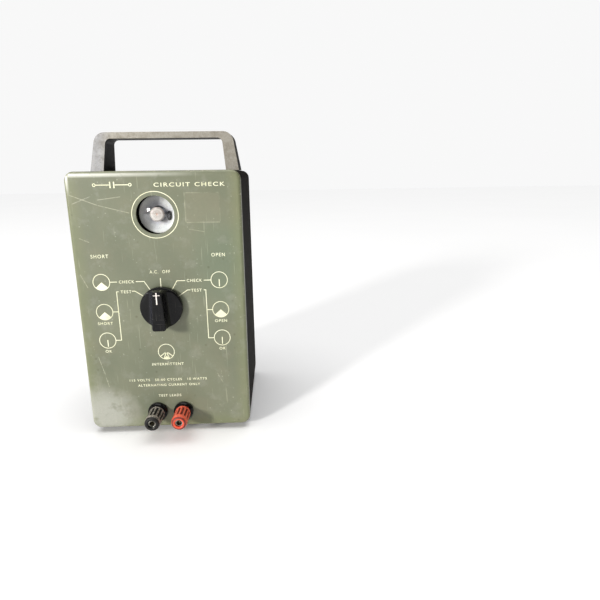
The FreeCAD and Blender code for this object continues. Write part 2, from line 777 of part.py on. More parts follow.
def back_fittings():
    """Rear screws into the chassis and the rubber grommet where the cord comes in."""
    screws = []
    for side in (-1, 1):
        screw = pan_screw("rear_screw", "Y", small_screw_radius, rear_head_radius, rear_proud,
                          cabinet_gauge + chassis_gauge + 4)
        screw.Placement = Placement(Vector(), Rotation(Vector(0, 0, 1), 180))
        screws.append(put(screw, rear_screw_offset * side, cabinet_depth, rear_screw_height))
    node(group("rear_screws", screws), "rear_screws")
    flange = grommet_neck_radius + grommet_flange
    neck = grommet_neck_radius - slip_gap
    inside = -(cabinet_gauge + grommet_inner_flange)
    grommet = turned("cord_grommet", "Y", [
        (cord_hole_radius, inside), (flange - grommet_edge, inside),
        (flange, inside + grommet_edge),
        (flange, -cabinet_gauge), (neck, -cabinet_gauge), (neck, 0), (flange, 0),
        (flange, rear_proud - grommet_edge), (flange - grommet_edge, rear_proud),
        (cord_hole_radius, rear_proud)])
    node(put(grommet, -cord_hole_offset, cabinet_depth, cord_hole_height), "cord_grommet")


# ---------------------------------------------------------------- rotary switch and knob

def switch_frame():
    """Bushing and mounting plate of the rotary switch."""
    plate = block("switch_plate", (-frame_width / 2, plate_depth, shaft_height - frame_height / 2),
                  (frame_width / 2, plate_depth + frame_thickness,
                   shaft_height + frame_height / 2))
    bushing = rod("bushing", "Y", bushing_radius, bushing_reach + plate_depth + frame_thickness,
                  0, -bushing_reach, shaft_height)
    tools = [rod("shaft_bore", "Y", shaft_radius + slip_gap, bushing_reach + plate_depth + 10,
                 0, -bushing_reach - 1, shaft_height)]
    for side in (-1, 1):
        tools.append(rod("tie_hole", "Y", small_screw_radius + thread_fit, 10,
                         tie_spacing / 2 * side, 0, shaft_height))
    frame = cut("switch_frame", fuse("switch_frame_blank", [plate, bushing]), tools)
    node(frame, "switch_frame")


def switch_nut():
    """Hexagon nut on the bushing, in front of the panel."""
    nut = hexagon("nut_blank", nut_across, nut_thickness, 0, -nut_thickness, shaft_height)
    hole = rod("nut_hole", "Y", bushing_radius + thread_fit, nut_thickness + 2, 0,
               -nut_thickness - 1, shaft_height)
    node(cut("switch_nut", nut, [hole]), "switch_nut")


def switch_lockwasher():
    washer = ring("switch_lockwasher", "Y", bushing_radius + screw_clearance,
                  lockwasher_radius, 0, washer_thickness)
    node(put(washer, 0, panel_gauge + chassis_gauge, shaft_height), "switch_lockwasher")


def switch_shaft():
    """Round shaft with a flat on the knob's end and on the wafer's end."""
    front = -(knob_height - knob_crown_wall - moving_gap)
    shaft = rod("shaft_blank", "Y", shaft_radius, shaft_end_depth - front, 0, front,
                shaft_height)
    flat_low = shaft_height - shaft_radius - 1
    knob_flat = block("knob_flat", (-4, front - 1, flat_low),
                      (4, -bushing_reach - 1, shaft_height - shaft_radius + shaft_flat))
    wafer_flat = block("wafer_flat", (-4, wafer_depth - 2, flat_low),
                       (4, shaft_end_depth + 1, shaft_height - shaft_radius + shaft_flat))
    node(cut("switch_shaft", shaft, [knob_flat, wafer_flat]), "switch_shaft")


def detent():
    """Star wheel on the shaft, and the spring strap with its ball on the frame."""
    wheel_front = plate_depth + frame_thickness + 1
    wheel = ring("detent_disc", "Y", shaft_radius + thread_fit, wheel_radius, 0, wheel_thickness)
    put(wheel, 0, wheel_front, shaft_height)
    notches = []
    notch_circle = wheel_radius + notch_reach
    for index in range(notch_count):
        angle = math.radians(360 / notch_count * index)
        notches.append(rod("detent_notch", "Y", notch_radius, 4, notch_circle * math.sin(angle),
                           wheel_front - 1, shaft_height + notch_circle * math.cos(angle)))
    node(cut("detent_wheel", wheel, notches), "detent_wheel")
    inner = wheel_radius + moving_gap + strap_gap
    strap = ring("detent_band", "Y", inner, inner + strap_gauge, 0, strap_width)
    put(strap, 0, wheel_front - 1, shaft_height)
    opening = block("detent_open", (-20, wheel_front - 3, shaft_height - 20),
                    (20, wheel_front + 6, shaft_height + 3))
    band = cut("detent_strap", strap, [opening])
    ball = document.addObject("Part::Sphere", "detent_ball")
    bind(ball, "Radius", ball_radius)
    put(ball, 0, wheel_front + strap_width / 2 - wheel_thickness / 2,
        shaft_height + wheel_radius + moving_gap + ball_radius)
    node(fuse("detent_spring", [band, ball]), "detent_spring")


def switch_wafer():
    """Phenolic stator with its clips, the rotor on the shaft, and the hardware that ties them."""
    stator = block("stator_blank",
                   (-frame_width / 2, wafer_depth, shaft_height - wafer_height / 2),
                   (frame_width / 2, wafer_depth + wafer_thickness,
                    shaft_height + wafer_height / 2))
    tools = [rod("rotor_window", "Y", rotor_radius + moving_gap, 4, 0, wafer_depth - 1,
                 shaft_height)]
    for side in (-1, 1):
        tools.append(rod("stator_hole", "Y", small_screw_radius + thread_fit, 4,
                         tie_spacing / 2 * side, wafer_depth - 1, shaft_height))
    node(cut("wafer_stator", stator, tools), "wafer_stator")
    rotor = ring("rotor_disc", "Y", shaft_radius + thread_fit, rotor_radius, 0, wafer_thickness)
    node(put(rotor, 0, wafer_depth, shaft_height), "wafer_rotor")
    clips = []
    back = wafer_depth + wafer_thickness
    for index in range(10):
        # Two places are left free for the tie screws at the sides.
        angle = 30 * (index + 1 if index < 5 else index + 2)
        clip = document.addObject("Part::Box", "clip")
        bind(clip, "Length", clip_width)
        bind(clip, "Width", clip_thickness)
        bind(clip, "Height", clip_length)
        reach = rotor_radius + clip_gap
        turn = Rotation(Vector(0, 1, 0), angle + 90)
        corner = turn.multVec(Vector(-clip_width.value / 2, 0, 1))
        clip.Placement = Placement(Vector(), turn)
        lean = math.radians(angle + 90)
        clips.append(put(clip, reach * math.sin(lean) + corner.x - math.sin(lean), back,
                         shaft_height + reach * math.cos(lean) + corner.z - math.cos(lean)))
    node(group("wafer_contacts", clips), "wafer_contacts")
    spacers = []
    screws = []
    for side in (-1, 1):
        x = tie_spacing / 2 * side
        start = plate_depth + frame_thickness
        spacer = ring("spacer", "Y", small_screw_radius + screw_clearance, small_head_radius,
                      0, wafer_depth - start)
        spacers.append(put(spacer, x, start, shaft_height))
        screw = pan_screw("tie_screw", "Y", small_screw_radius, small_head_radius,
                          small_head_height, back - plate_depth)
        screw.Placement = Placement(Vector(), Rotation(Vector(0, 0, 1), 180))
        screws.append(put(screw, x, back, shaft_height))
    node(group("switch_spacers", spacers), "switch_spacers")
    node(group("switch_tie_screws", screws), "switch_tie_screws")


def knob():
    """Moulded bar knob: round skirt, tapered bar with a narrow pointer end, hollow underneath."""
    skirt_top = knob_floor_gap + knob_skirt_height
    body = turned("knob", "Y", [
        (0, -knob_floor_gap), (knob_skirt_radius - knob_rim, -knob_floor_gap),
        (knob_skirt_radius, -knob_floor_gap - knob_rim),
        (knob_skirt_radius, knob_shoulder * 0.75 - skirt_top),
        (knob_skirt_radius - knob_shoulder, -skirt_top), (0, -skirt_top)])
    foot = sketch_on(body, "XZ_Plane", skirt_top - 0.2)
    draw_bar_outline(foot, 0.3, knob_bar_spread)
    crown = sketch_on(body, "XZ_Plane", knob_height)
    draw_bar_outline(crown, -0.5, 0)
    bar = body.newObject("PartDesign::AdditiveLoft", "knob_bar")
    bar.Profile = foot
    bar.Sections = [crown]
    document.recompute()
    recess = sketch_on(body, "XZ_Plane", knob_floor_gap)
    draw_circle(recess, 0, 0, knob_recess_radius)
    grow(body, "Pocket", recess, knob_recess_depth - knob_floor_gap, True)
    bore = sketch_on(body, "XZ_Plane", knob_floor_gap)
    draw_circle(bore, 0, 0, shaft_radius + thread_fit)
    grow(body, "Pocket", bore, knob_height - knob_crown_wall - knob_floor_gap, True)
    tapped = sketch_on(body, "XY_Plane")
    draw_circle(tapped, 0, -set_screw_reach, small_screw_radius + thread_fit)
    grow(body, "Pocket", tapped, knob_skirt_radius)
    node(put(body, 0, 0, shaft_height), "knob")
    screw = rod("knob_set_screw", "Z", small_screw_radius, set_screw_length, 0, -set_screw_reach,
                shaft_height - shaft_radius + shaft_flat - 0.1 - set_screw_length)
    node(screw, "knob_set_screw")


def draw_bar_outline(sketch, extra_length, extra_width):
    """The bar seen from the front: narrow at the pointer, wide at the tail."""
    point = (knob_point_width + extra_width) / 2
    tail = (knob_tail_width + extra_width) / 2
    reach = knob_bar_half + extra_length
    draw_polygon(sketch, [
        (-tail, bar_tail_corner - reach), (bar_tail_corner - tail, -reach),
        (tail - bar_tail_corner, -reach), (tail, bar_tail_corner - reach),
        (point, reach - bar_point_corner), (point - bar_point_corner, reach),
        (bar_point_corner - point, reach), (-point, reach - bar_point_corner)])


# ---------------------------------------------------------------- binding posts

def binding_post(colour, side):
    """One five-way post: collar, stud with a banana socket, clamp washer and screwed cap."""
    x = half_posts * side
    collar_front = -post_base_thickness
    spigot = post_insulator_radius
    base = turned(colour + "_post_base", "Y", [
        (post_tail_radius + slip_gap, collar_front),
        (post_base_radius - post_chamfer, collar_front),
        (post_base_radius, collar_front + post_chamfer), (post_base_radius, 0), (spigot, 0),
        (spigot, panel_gauge), (post_tail_radius + slip_gap, panel_gauge)])
    node(put(base, x, 0, post_height), colour + "_post_base")

    stud_front = -(post_reach - cap_mouth_wall - moving_gap)
    socket_floor = stud_front + banana_depth
    stud = turned(colour + "_post_stud", "Y", [
        (banana_radius, stud_front), (post_stud_radius - post_edge, stud_front),
        (post_stud_radius, stud_front + post_edge), (post_stud_radius, collar_front),
        (post_tail_radius, collar_front), (post_tail_radius, post_tail_length),
        (0, post_tail_length), (0, socket_floor), (banana_radius, socket_floor)])
    wire_hole = sketch_on(stud, "YZ_Plane", post_stud_radius + 1)
    draw_circle(wire_hole, collar_front - wire_hole_offset, 0, wire_hole_radius)
    grow(stud, "Pocket", wire_hole, post_stud_radius * 2 + 2)
    node(put(stud, x, 0, post_height), colour + "_post_stud")

    washer_back = collar_front - slip_gap
    washer = ring(colour + "_post_washer", "Y", post_stud_radius + slip_gap,
                  clamp_washer_radius, washer_back - clamp_washer_thickness, washer_back)
    node(put(washer, x, 0, post_height), colour + "_post_washer")

    cap_back = washer_back - clamp_washer_thickness - slip_gap
    post_cap(colour, x, cap_back)


def post_cap(colour, x, cap_back):
    """Fluted moulded cap with a mouth in front of the banana socket."""
    cap_front = -post_reach
    bore = post_stud_radius + slip_gap
    body = turned(colour + "_post_cap", "Y", [
        (bore, cap_back), (post_cap_radius - post_edge, cap_back),
        (post_cap_radius, cap_back - post_edge), (post_cap_radius, cap_front + cap_nose),
        (post_cap_radius - cap_nose_inset, cap_front),
        (cap_mouth_radius, cap_front), (cap_mouth_radius, cap_front + cap_mouth_wall),
        (bore, cap_front + cap_mouth_wall)])
    document.recompute()
    flute = sketch_on(body, "XZ_Plane", -(cap_back - flute_back_margin))
    draw_circle(flute, 0, post_cap_radius + flute_radius * 0.35, flute_radius)
    flute_length = cap_back - flute_back_margin - cap_front - flute_front_margin
    first = grow(body, "Pocket", flute, flute_length, True)
    pattern = body.newObject("PartDesign::PolarPattern", colour + "_flutes")
    pattern.Originals = [first]
    pattern.Axis = (origin_part(body, "Y_Axis"), [""])
    pattern.Angle = 360
    bind(pattern, "Occurrences", flute_count)
    body.Tip = pattern
    document.recompute()
    node(put(body, x, 0, post_height), colour + "_post_cap")


def post_hardware():
    """Behind the panel: insulating washers, nuts and solder lugs of both posts."""
    insulators = []
    nuts = []
    lugs = []
    washer_back = panel_gauge + insulator_thickness
    lug_front = washer_back + post_nut_thickness
    for side in (-1, 1):
        x = half_posts * side
        insulator = ring("insulator", "Y", post_tail_radius + slip_gap, insulator_radius,
                         0, insulator_thickness)
        insulators.append(put(insulator, x, panel_gauge, post_height))
        for depth in (washer_back, lug_front + lug_gauge):
            nut = hexagon("post_nut", post_nut_across, post_nut_thickness, x, depth, post_height)
            hole = rod("post_nut_hole", "Y", post_tail_radius + thread_fit, 8, x, depth - 2,
                       post_height)
            nuts.append(cut("post_nut_cut", nut, [hole]))
        eyelet = rod("lug_eyelet", "Y", lug_radius, lug_gauge, x, lug_front, post_height)
        tail = block("lug_tail", (x - lug_tail_half, lug_front, post_height),
                     (x + lug_tail_half, lug_front + lug_gauge, post_height + lug_tail_length))
        tools = [rod("lug_hole", "Y", post_tail_radius + thread_fit, 4, x, lug_front - 1,
                     post_height),
                 rod("lug_eye", "Y", lug_eye_radius, 4, x, lug_front - 1,
                     post_height + lug_tail_length - 2)]
        lugs.append(cut("post_lug", fuse("lug_blank", [eyelet, tail]), tools))
    node(group("post_insulators", insulators), "post_insulators")
    node(group("post_nuts", nuts), "post_nuts")
    node(group("post_solder_lugs", lugs), "post_solder_lugs")


# ---------------------------------------------------------------- electron-ray tube

def eye_tube():
    """Indicator tube that lies front to back behind the round hole."""
    crown = bulb_front_depth
    shoulder = crown + bulb_dome_sag
    rear = crown + bulb_length
    neck = bulb_radius - bulb_neck_step
    neck_front = rear - bulb_neck_length
    # The dome is a run of straight lines through these shares of its radius and its sag.
    outer_dome = [(0, 0), (0.35, 0.07), (0.65, 0.26), (0.88, 0.58)]
    inner_dome = [(0.82, 0.56), (0.6, 0.24), (0.33, 0.07), (0, 0)]
    profile = [(bulb_radius * across, crown + bulb_dome_sag * deep) for across, deep in outer_dome]
    profile += [
        (bulb_radius, shoulder + bulb_shoulder), (bulb_radius, neck_front - bulb_neck_taper),
        (neck, neck_front), (neck, rear), (neck - bulb_wall, rear),
        (neck - bulb_wall, neck_front),
        (bulb_radius - bulb_wall, neck_front - bulb_neck_taper - 0.4),
        (bulb_radius - bulb_wall, shoulder + bulb_shoulder)]
    profile += [(bulb_radius * across, crown + bulb_wall + bulb_dome_sag * deep)
                for across, deep in inner_dome]
    glass = turned("eye_tube_glass", "Y", profile)
    node(put(glass, 0, 0, eye_height), "eye_tube_glass")

    base_front = neck_front + slip_gap
    base_back = base_front + tube_base_length
    base = turned("eye_tube_base", "Y", [
        (neck + slip_gap, base_front), (bulb_radius, base_front),
        (bulb_radius, base_back), (0, base_back), (0, base_back - tube_base_wall),
        (neck + slip_gap, base_back - tube_base_wall)])
    node(put(base, 0, 0, eye_height), "eye_tube_base")

    pins = []
    for index in range(pin_count):
        angle = math.radians(360 / pin_count * (index + 0.5))
        pins.append(rod("tube_pin", "Y", pin_radius, pin_length, pin_circle * math.sin(angle),
                        base_back, eye_height + pin_circle * math.cos(angle)))
    node(group("eye_tube_pins", pins), "eye_tube_pins")
    eye_electrodes()
    eye_socket(base_back)


def eye_electrodes():
    """Glowing dish, the cap over its cathode, and the triode plate behind it."""
    rim = eye_dish_front
    floor = rim + eye_dish_drop
    outside = eye_dish_radius + eye_dish_wall
    dish = turned("eye_target", "Y", [
        (eye_dish_radius, rim), (outside, rim), (outside, rim + eye_dish_rim),
        (eye_dish_radius, rim + eye_dish_rim), (eye_dish_neck + 0.5, floor + 0.4),
        (eye_dish_neck, floor + 0.4), (eye_dish_neck, floor), (eye_dish_radius - 0.4, rim + 0.6)])
    node(put(dish, 0, 0, eye_height), "eye_target")
    cap_under = rim - eye_cap_proud + 1.5
    plate_front = floor + triode_gap
    cap = turned("eye_cathode_cap", "Y", [
        (0, rim - eye_cap_proud), (eye_cap_radius - 0.8, rim - eye_cap_proud + 0.4),
        (eye_cap_radius, rim - eye_cap_proud + 1), (eye_cap_radius, cap_under),
        (cathode_radius, cap_under), (cathode_radius, plate_front), (0, plate_front)])
    node(put(cap, 0, 0, eye_height), "eye_cathode_cap")
    plate_back = plate_front + triode_length
    plate = turned("eye_tube_anode", "Y", [
        (0, plate_front), (triode_radius, plate_front), (triode_radius, plate_back),
        (0, plate_back)])
    node(put(plate, 0, 0, eye_height), "eye_tube_anode")


def eye_socket(base_back):
    """Octal socket on its upright bracket."""
    front = base_back + 0.3
    hub = rod("socket_hub", "Y", socket_radius, socket_length, 0, front, eye_height)
    flange = rod("socket_flange", "Y", socket_radius + socket_flange_width, socket_flange, 0,
                 bracket_depth - socket_flange, eye_height)
    tools = []
    for index in range(pin_count):
        angle = math.radians(360 / pin_count * (index + 0.5))
        tools.append(rod("socket_hole", "Y", pin_radius + screw_clearance, 14,
                         pin_circle * math.sin(angle), front - 1,
                         eye_height + pin_circle * math.cos(angle)))
    node(cut("eye_tube_socket", fuse("socket_blank", [hub, flange]), tools), "eye_tube_socket")

    half = bracket_width / 2
    upright = block("bracket_upright", (-half, bracket_depth, shelf_height),
                    (half, bracket_depth + chassis_gauge, eye_height + socket_radius + 5))
    foot = block("bracket_foot", (-half, bracket_depth - bracket_foot, shelf_height),
                 (half, bracket_depth + chassis_gauge, shelf_height + chassis_gauge))
    tools = [rod("bracket_hole", "Y", socket_radius + slip_gap, 10, 0, bracket_depth - 4,
                 eye_height)]
    for side in (-1, 1):
        tools.append(rod("bracket_screw_hole", "Z", small_screw_radius + screw_clearance, 4,
                         bracket_screw_x * side, bracket_depth - bracket_foot / 2, shelf_height - 1))
    node(cut("eye_tube_bracket", fuse("bracket_blank", [upright, foot]), tools),
         "eye_tube_bracket")


# ---------------------------------------------------------------- chassis and its parts

def chassis_plate():
    """Bent steel chassis: front flange behind the panel, shelf, and rear flange."""
    half = chassis_width / 2
    front = block("chassis_front", (-half, panel_gauge, shelf_underside),
                  (half, panel_gauge + chassis_gauge, shaft_height + chassis_front_margin))
    shelf = block("chassis_shelf", (-half, panel_gauge, shelf_underside),
                  (half, back_inner_depth, shelf_height))
    rear = block("chassis_rear", (-half, back_inner_depth - chassis_gauge, shelf_underside),
                 (half, back_inner_depth, shelf_height + chassis_rear_rise))
    tools = [rod("chassis_bushing_hole", "Y", bushing_radius + screw_clearance, 10, 0, -2,
                 shaft_height),
             rod("tube_socket_hole", "Z", miniature_radius - 0.3, 6, -side_part_offset,
                 side_part_depth, shelf_height - 3),
             rod("wire_hole", "Z", 5, 6, 0, 45, shelf_height - 3)]
    for side in (-1, 1):
        tools.append(rod("rear_screw_hole", "Y", small_screw_radius + thread_fit, 8,
                         rear_screw_offset * side, back_inner_depth - 4, rear_screw_height))
        tools.append(rod("bracket_screw_hole", "Z", small_screw_radius + thread_fit, 6,
                         bracket_screw_x * side, bracket_depth - bracket_foot / 2, shelf_height - 3))
        tools.append(rod("transformer_screw_hole", "Z", small_screw_radius + thread_fit, 6,
                         transformer_screw_x * side - transformer_offset, transformer_depth,
                         shelf_height - 3))
        tools.append(rod("strip_screw_hole", "Z", small_screw_radius + thread_fit, 6,
                         strip_screw_x * side, strip_depth, shelf_height - 3))
    tools.append(rod("rectifier_screw_hole", "Z", small_screw_radius + thread_fit, 6,
                     rectifier_x, rectifier_depth, shelf_height - 3))
    blank = fuse("chassis_blank", [front, shelf, rear])
    node(cut("chassis_plate", blank, tools), "chassis_plate")


def transformer():
    """Small power transformer: laminated core, coil round the middle limb, strap and screws."""
    x = -transformer_offset
    half = transformer_width / 2
    half_stack = transformer_stack / 2
    # A standard core: the yokes, the windows and half the middle limb are equally wide.
    limb = yoke = window = transformer_width / 6
    base = shelf_height + 0.2
    core = block("core_blank", (x - half, transformer_depth - half_stack, base),
                 (x + half, transformer_depth + half_stack, base + transformer_height))
    windows = []
    for side in (-1, 1):
        inner = x + limb * side
        outer = inner + window * side
        left, right = (inner, outer) if side > 0 else (outer, inner)
        windows.append(block("core_window", (left, transformer_depth - half_stack - 1, base + yoke),
                             (right, transformer_depth + half_stack + 1,
                              base + transformer_height - yoke)))
    node(cut("transformer_core", core, windows), "transformer_core")
    coil_half = limb + window - coil_gap
    coil_low = base + yoke + coil_gap
    coil_high = base + transformer_height - yoke - coil_gap
    coil_reach = half_stack + coil_overhang
    coil = block("coil_blank", (x - coil_half, transformer_depth - coil_reach, coil_low),
                 (x + coil_half, transformer_depth + coil_reach, coil_high))
    limb_space = block("limb_space",
                       (x - limb - slip_gap, transformer_depth - half_stack - coil_gap, coil_low - 1),
                       (x + limb + slip_gap, transformer_depth + half_stack + coil_gap, coil_high + 1))
    node(cut("transformer_coil", coil, [limb_space]), "transformer_coil")
    transformer_strap(x, half, half_stack, base)


def transformer_strap(x, half, half_stack, base):
    """U-shaped strap over the core, with a foot and a screw at each side."""
    top = base + transformer_height
    outer = half + chassis_gauge
    strap_half = half_stack - strap_inset
    near = transformer_depth - strap_half
    far = transformer_depth + strap_half
    pieces = [block("strap_top", (x - outer, near, top), (x + outer, far, top + chassis_gauge))]
    tools = []
    for side in (-1, 1):
        wall_inner = x + half * side
        wall_outer = x + outer * side
        toe = x + (outer + strap_toe) * side
        left, right = (wall_inner, wall_outer) if side > 0 else (wall_outer, wall_inner)
        pieces.append(block("strap_wall", (left, near, shelf_height), (right, far, top)))
        left, right = (wall_inner, toe) if side > 0 else (toe, wall_inner)
        pieces.append(block("strap_foot", (left, near, shelf_height),
                            (right, far, shelf_height + chassis_gauge)))
        tools.append(rod("strap_hole", "Z", small_screw_radius + screw_clearance, 4,
                         x + transformer_screw_x * side, transformer_depth, shelf_height - 1))
    node(cut("transformer_frame", fuse("strap_blank", pieces), tools), "transformer_frame")


def chassis_screws():
    """Four equal screws: two hold the indicator tube's bracket and two the transformer."""
    places = []
    for side in (-1, 1):
        places.append((bracket_screw_x * side, bracket_depth - bracket_foot / 2))
        places.append((transformer_screw_x * side - transformer_offset, transformer_depth))
    screws = []
    for x, depth in places:
        screw = pan_screw("chassis_screw", "Z", small_screw_radius, small_head_radius,
                          small_head_height, Size(5.0))
        screw.Placement = Placement(Vector(), Rotation(Vector(1, 0, 0), 180))
        screws.append(put(screw, x, depth, shelf_height + chassis_gauge))
    node(group("chassis_screws", screws), "chassis_screws")


def filter_capacitor():
    """Electrolytic can standing on the shelf in a spring clip."""
    can = turned("filter_capacitor", "Z", [
        (0, 0), (filter_radius - 0.6, 0), (filter_radius, 0.6), (filter_radius, filter_length - 2),
        (filter_radius - 1.2, filter_length), (filter_radius - 2.2, filter_length),
        (filter_radius - 2.2, filter_length - 1), (0, filter_length - 1)])
    node(put(can, filter_x, filter_depth, shelf_height + 0.2), "filter_capacitor")
    inner = filter_radius + slip_gap
    band = ring("clip_band", "Z", inner, inner + clip_gauge, clip_low, clip_high)
    put(band, filter_x, filter_depth, shelf_height)
    leg = block("clip_leg",
                (filter_x - clip_half, filter_depth - inner - clip_gauge, shelf_height),
                (filter_x + clip_half, filter_depth - inner, shelf_height + clip_low * 2))
    toe = block("clip_toe",
                (filter_x - clip_half, filter_depth - inner - clip_toe, shelf_height),
                (filter_x + clip_half, filter_depth - inner, shelf_height + clip_gauge))
    node(fuse("capacitor_clip", [band, leg, toe]), "capacitor_clip")


def oscillator_tube():
    """Seven-pin miniature tube in its moulded socket at the front of the shelf."""
    low = shelf_height + 3.0
    glass = turned("oscillator_tube_glass", "Z", [
        (0, 0), (miniature_radius - 1, 0), (miniature_radius, 1.2),
        (miniature_radius, miniature_length - 8), (miniature_radius - 2.6, miniature_length - 3),
        (2.2, miniature_length - 1.2), (1.0, miniature_length + 3), (0, miniature_length + 3.4),
        (0, miniature_length + 1.5), (1.2, miniature_length - 2.4),
        (miniature_radius - 3.6, miniature_length - 4),
        (miniature_radius - 0.9, miniature_length - 8.4), (miniature_radius - 0.9, 3), (0, 3)])
    node(put(glass, -side_part_offset, side_part_depth, low), "oscillator_tube_glass")
    plate = ring("oscillator_tube_plate", "Z", 2.4, 4.2, 8, 30)
    node(put(plate, -side_part_offset, side_part_depth, low), "oscillator_tube_plate")
    neck = miniature_radius - 0.3 - slip_gap
    socket = turned("oscillator_tube_socket", "Z", [
        (0, -9), (neck - 1, -9), (neck, -8), (neck, 0), (miniature_radius + 3, 0),
        (miniature_radius + 3, 1.6), (neck, 1.6), (neck, 2.9), (0, 2.9)])
    node(put(socket, -side_part_offset, side_part_depth, shelf_height), "oscillator_tube_socket")


def rf_coil():
    """Upright coil form with its winding."""
    form = turned("rf_coil_form", "Z", [
        (0, 0), (coil_foot_radius, 0), (coil_foot_radius, coil_foot_height),
        (coil_form_radius, coil_foot_height), (coil_form_radius, coil_form_length),
        (0, coil_form_length)])
    node(put(form, side_part_offset, side_part_depth, shelf_height), "rf_coil_form")
    winding = ring("rf_coil_winding", "Z", coil_form_radius + slip_gap,
                   coil_form_radius + winding_build, coil_form_length * 0.25,
                   coil_form_length * 0.7)
    node(put(winding, side_part_offset, side_part_depth, shelf_height), "rf_coil_winding")


def selenium_rectifier():
    """Stack of square plates hung under the shelf on one screw."""
    pieces = []
    for index in range(plate_count):
        high = shelf_underside - 3 - plate_pitch * index
        pieces.append(block("plate", (rectifier_x - plate_half, rectifier_depth - plate_half,
                                      high - plate_gauge),
                            (rectifier_x + plate_half, rectifier_depth + plate_half, high)))
    pieces.append(rod("stack_tube", "Z", stack_tube_radius, rectifier_stack, rectifier_x,
                      rectifier_depth, shelf_underside - rectifier_stack))
    hole = rod("stack_hole", "Z", small_screw_radius + screw_clearance, 24, rectifier_x,
               rectifier_depth, shelf_underside - 22)
    node(cut("selenium_rectifier", fuse("stack_blank", pieces), [hole]), "selenium_rectifier")
    screw = pan_screw("rectifier_screw", "Z", small_screw_radius, small_head_radius,
                      small_head_height, rectifier_stack + chassis_gauge)
    node(put(screw, rectifier_x, rectifier_depth, shelf_underside - rectifier_stack),
         "rectifier_screw")


def wiring():
    """Terminal strip under the shelf, its screws, the parts on it and the wires to it."""
    strip_top = shelf_underside - 4
    strip_low = strip_top - strip_board_height
    board_depth = strip_depth + 4
    board_back = board_depth + strip_gauge
    pieces = []
    screws = []
    tools = []
    for side in (-1, 1):
        x = strip_screw_x * side
        pieces.append(block("strip_ear",
                            (x - strip_ear_half, strip_depth - strip_ear_half,
                             shelf_underside - 1),
                            (x + strip_ear_half, board_back, shelf_underside)))
        pieces.append(block("strip_web", (x - strip_ear_half, board_depth, strip_low),
                            (x + strip_ear_half, board_back, shelf_underside)))
        tools.append(rod("strip_hole", "Z", small_screw_radius + screw_clearance, 4, x,
                         strip_depth, shelf_underside - 3))
        screw = pan_screw("strip_screw", "Z", small_screw_radius, small_head_radius,
                          small_head_height, Size(3.4))
        screws.append(put(screw, x, strip_depth, shelf_underside - 1))
    board_half = strip_screw_x + strip_ear_half
    pieces.append(block("strip_board", (-board_half, board_depth, strip_low),
                        (board_half, board_back, strip_top)))
    board = cut("terminal_strip", fuse("strip_blank", pieces), tools)
    node(board, "terminal_strip")
    node(group("strip_screws", screws), "strip_screws")
    strip_parts(strip_low, board_back)
    hookup_wires(strip_low)


def strip_parts(strip_low, board_back):
    """The strip's lugs, the resistors on every second one and the capacitors between them."""
    first_x = strip_pitch * -2.5
    lugs = []
    for index in range(6):
        x = first_x + strip_pitch * index
        lugs.append(block("lug", (x - strip_lug_half, board_back, strip_low + 2),
                          (x + strip_lug_half, board_back + strip_lug_gauge, strip_low + 9)))
    node(group("strip_lugs", lugs), "strip_lugs")
    lead_start = board_back + strip_lug_gauge + slip_gap
    resistors = []
    for index in range(3):
        x = first_x + strip_pitch * 2 * index
        lead = rod("resistor_lead", "Y", lead_radius, 20, x, lead_start, strip_low + 6)
        shell = rod("resistor_shell", "Y", resistor_radius, resistor_length, x, lead_start + 5,
                    strip_low + 6)
        resistors.append(fuse("resistor", [lead, shell]))
    capacitors = []
    for index in range(2):
        x = first_x + strip_pitch * (2 * index + 1)
        lead = rod("paper_lead", "Y", lead_radius, 30, x, lead_start, strip_low + 4)
        shell = rod("paper_shell", "Y", paper_radius, paper_length, x, lead_start + 6,
                    strip_low + 4)
        capacitors.append(fuse("paper_capacitor", [lead, shell]))
    node(group("resistors", resistors), "resistors")
    node(group("paper_capacitors", capacitors), "paper_capacitors")


def hookup_wires(strip_low):
    """Insulated wires from the posts, the switch and the indicator tube to the chassis."""
    lug_depth = panel_gauge + insulator_thickness + post_nut_thickness + lug_gauge
    over_shelf = shelf_height + 6
    board_front = strip_depth + 3.0
    socket_back = bracket_depth + 4.5
    routes = [
        [(-half_posts, lug_depth + 0.2, post_height + 12), (-half_posts, 24, post_height + 14),
         (-half_posts - 8, 36, strip_low - 8), (-12, board_front, strip_low + 2)],
        [(half_posts, lug_depth + 0.2, post_height + 12), (half_posts, 22, post_height + 14),
         (half_posts + 6, 34, strip_low - 10), (12, board_front, strip_low + 2)],
        [(0, wafer_depth + 2.2, shaft_height - 12.5), (0, 36, shaft_height - 15),
         (0, 44, over_shelf), (1, 44.5, shelf_underside - 6), (3, board_front, strip_low + 5)],
        [(0, socket_back, eye_height - 8), (2, socket_back + 5, eye_height - 36),
         (14, bracket_depth + 6, shelf_height + 30), (17, bracket_depth + 6, shelf_height + 0.1)],
    ]
    wires = []
    for route in routes:
        wires.append(wire_solid(route))
    compound = document.addObject("Part::Feature", "hookup_wires")
    compound.Shape = Part.makeCompound(wires)
    node(compound, "hookup_wires")


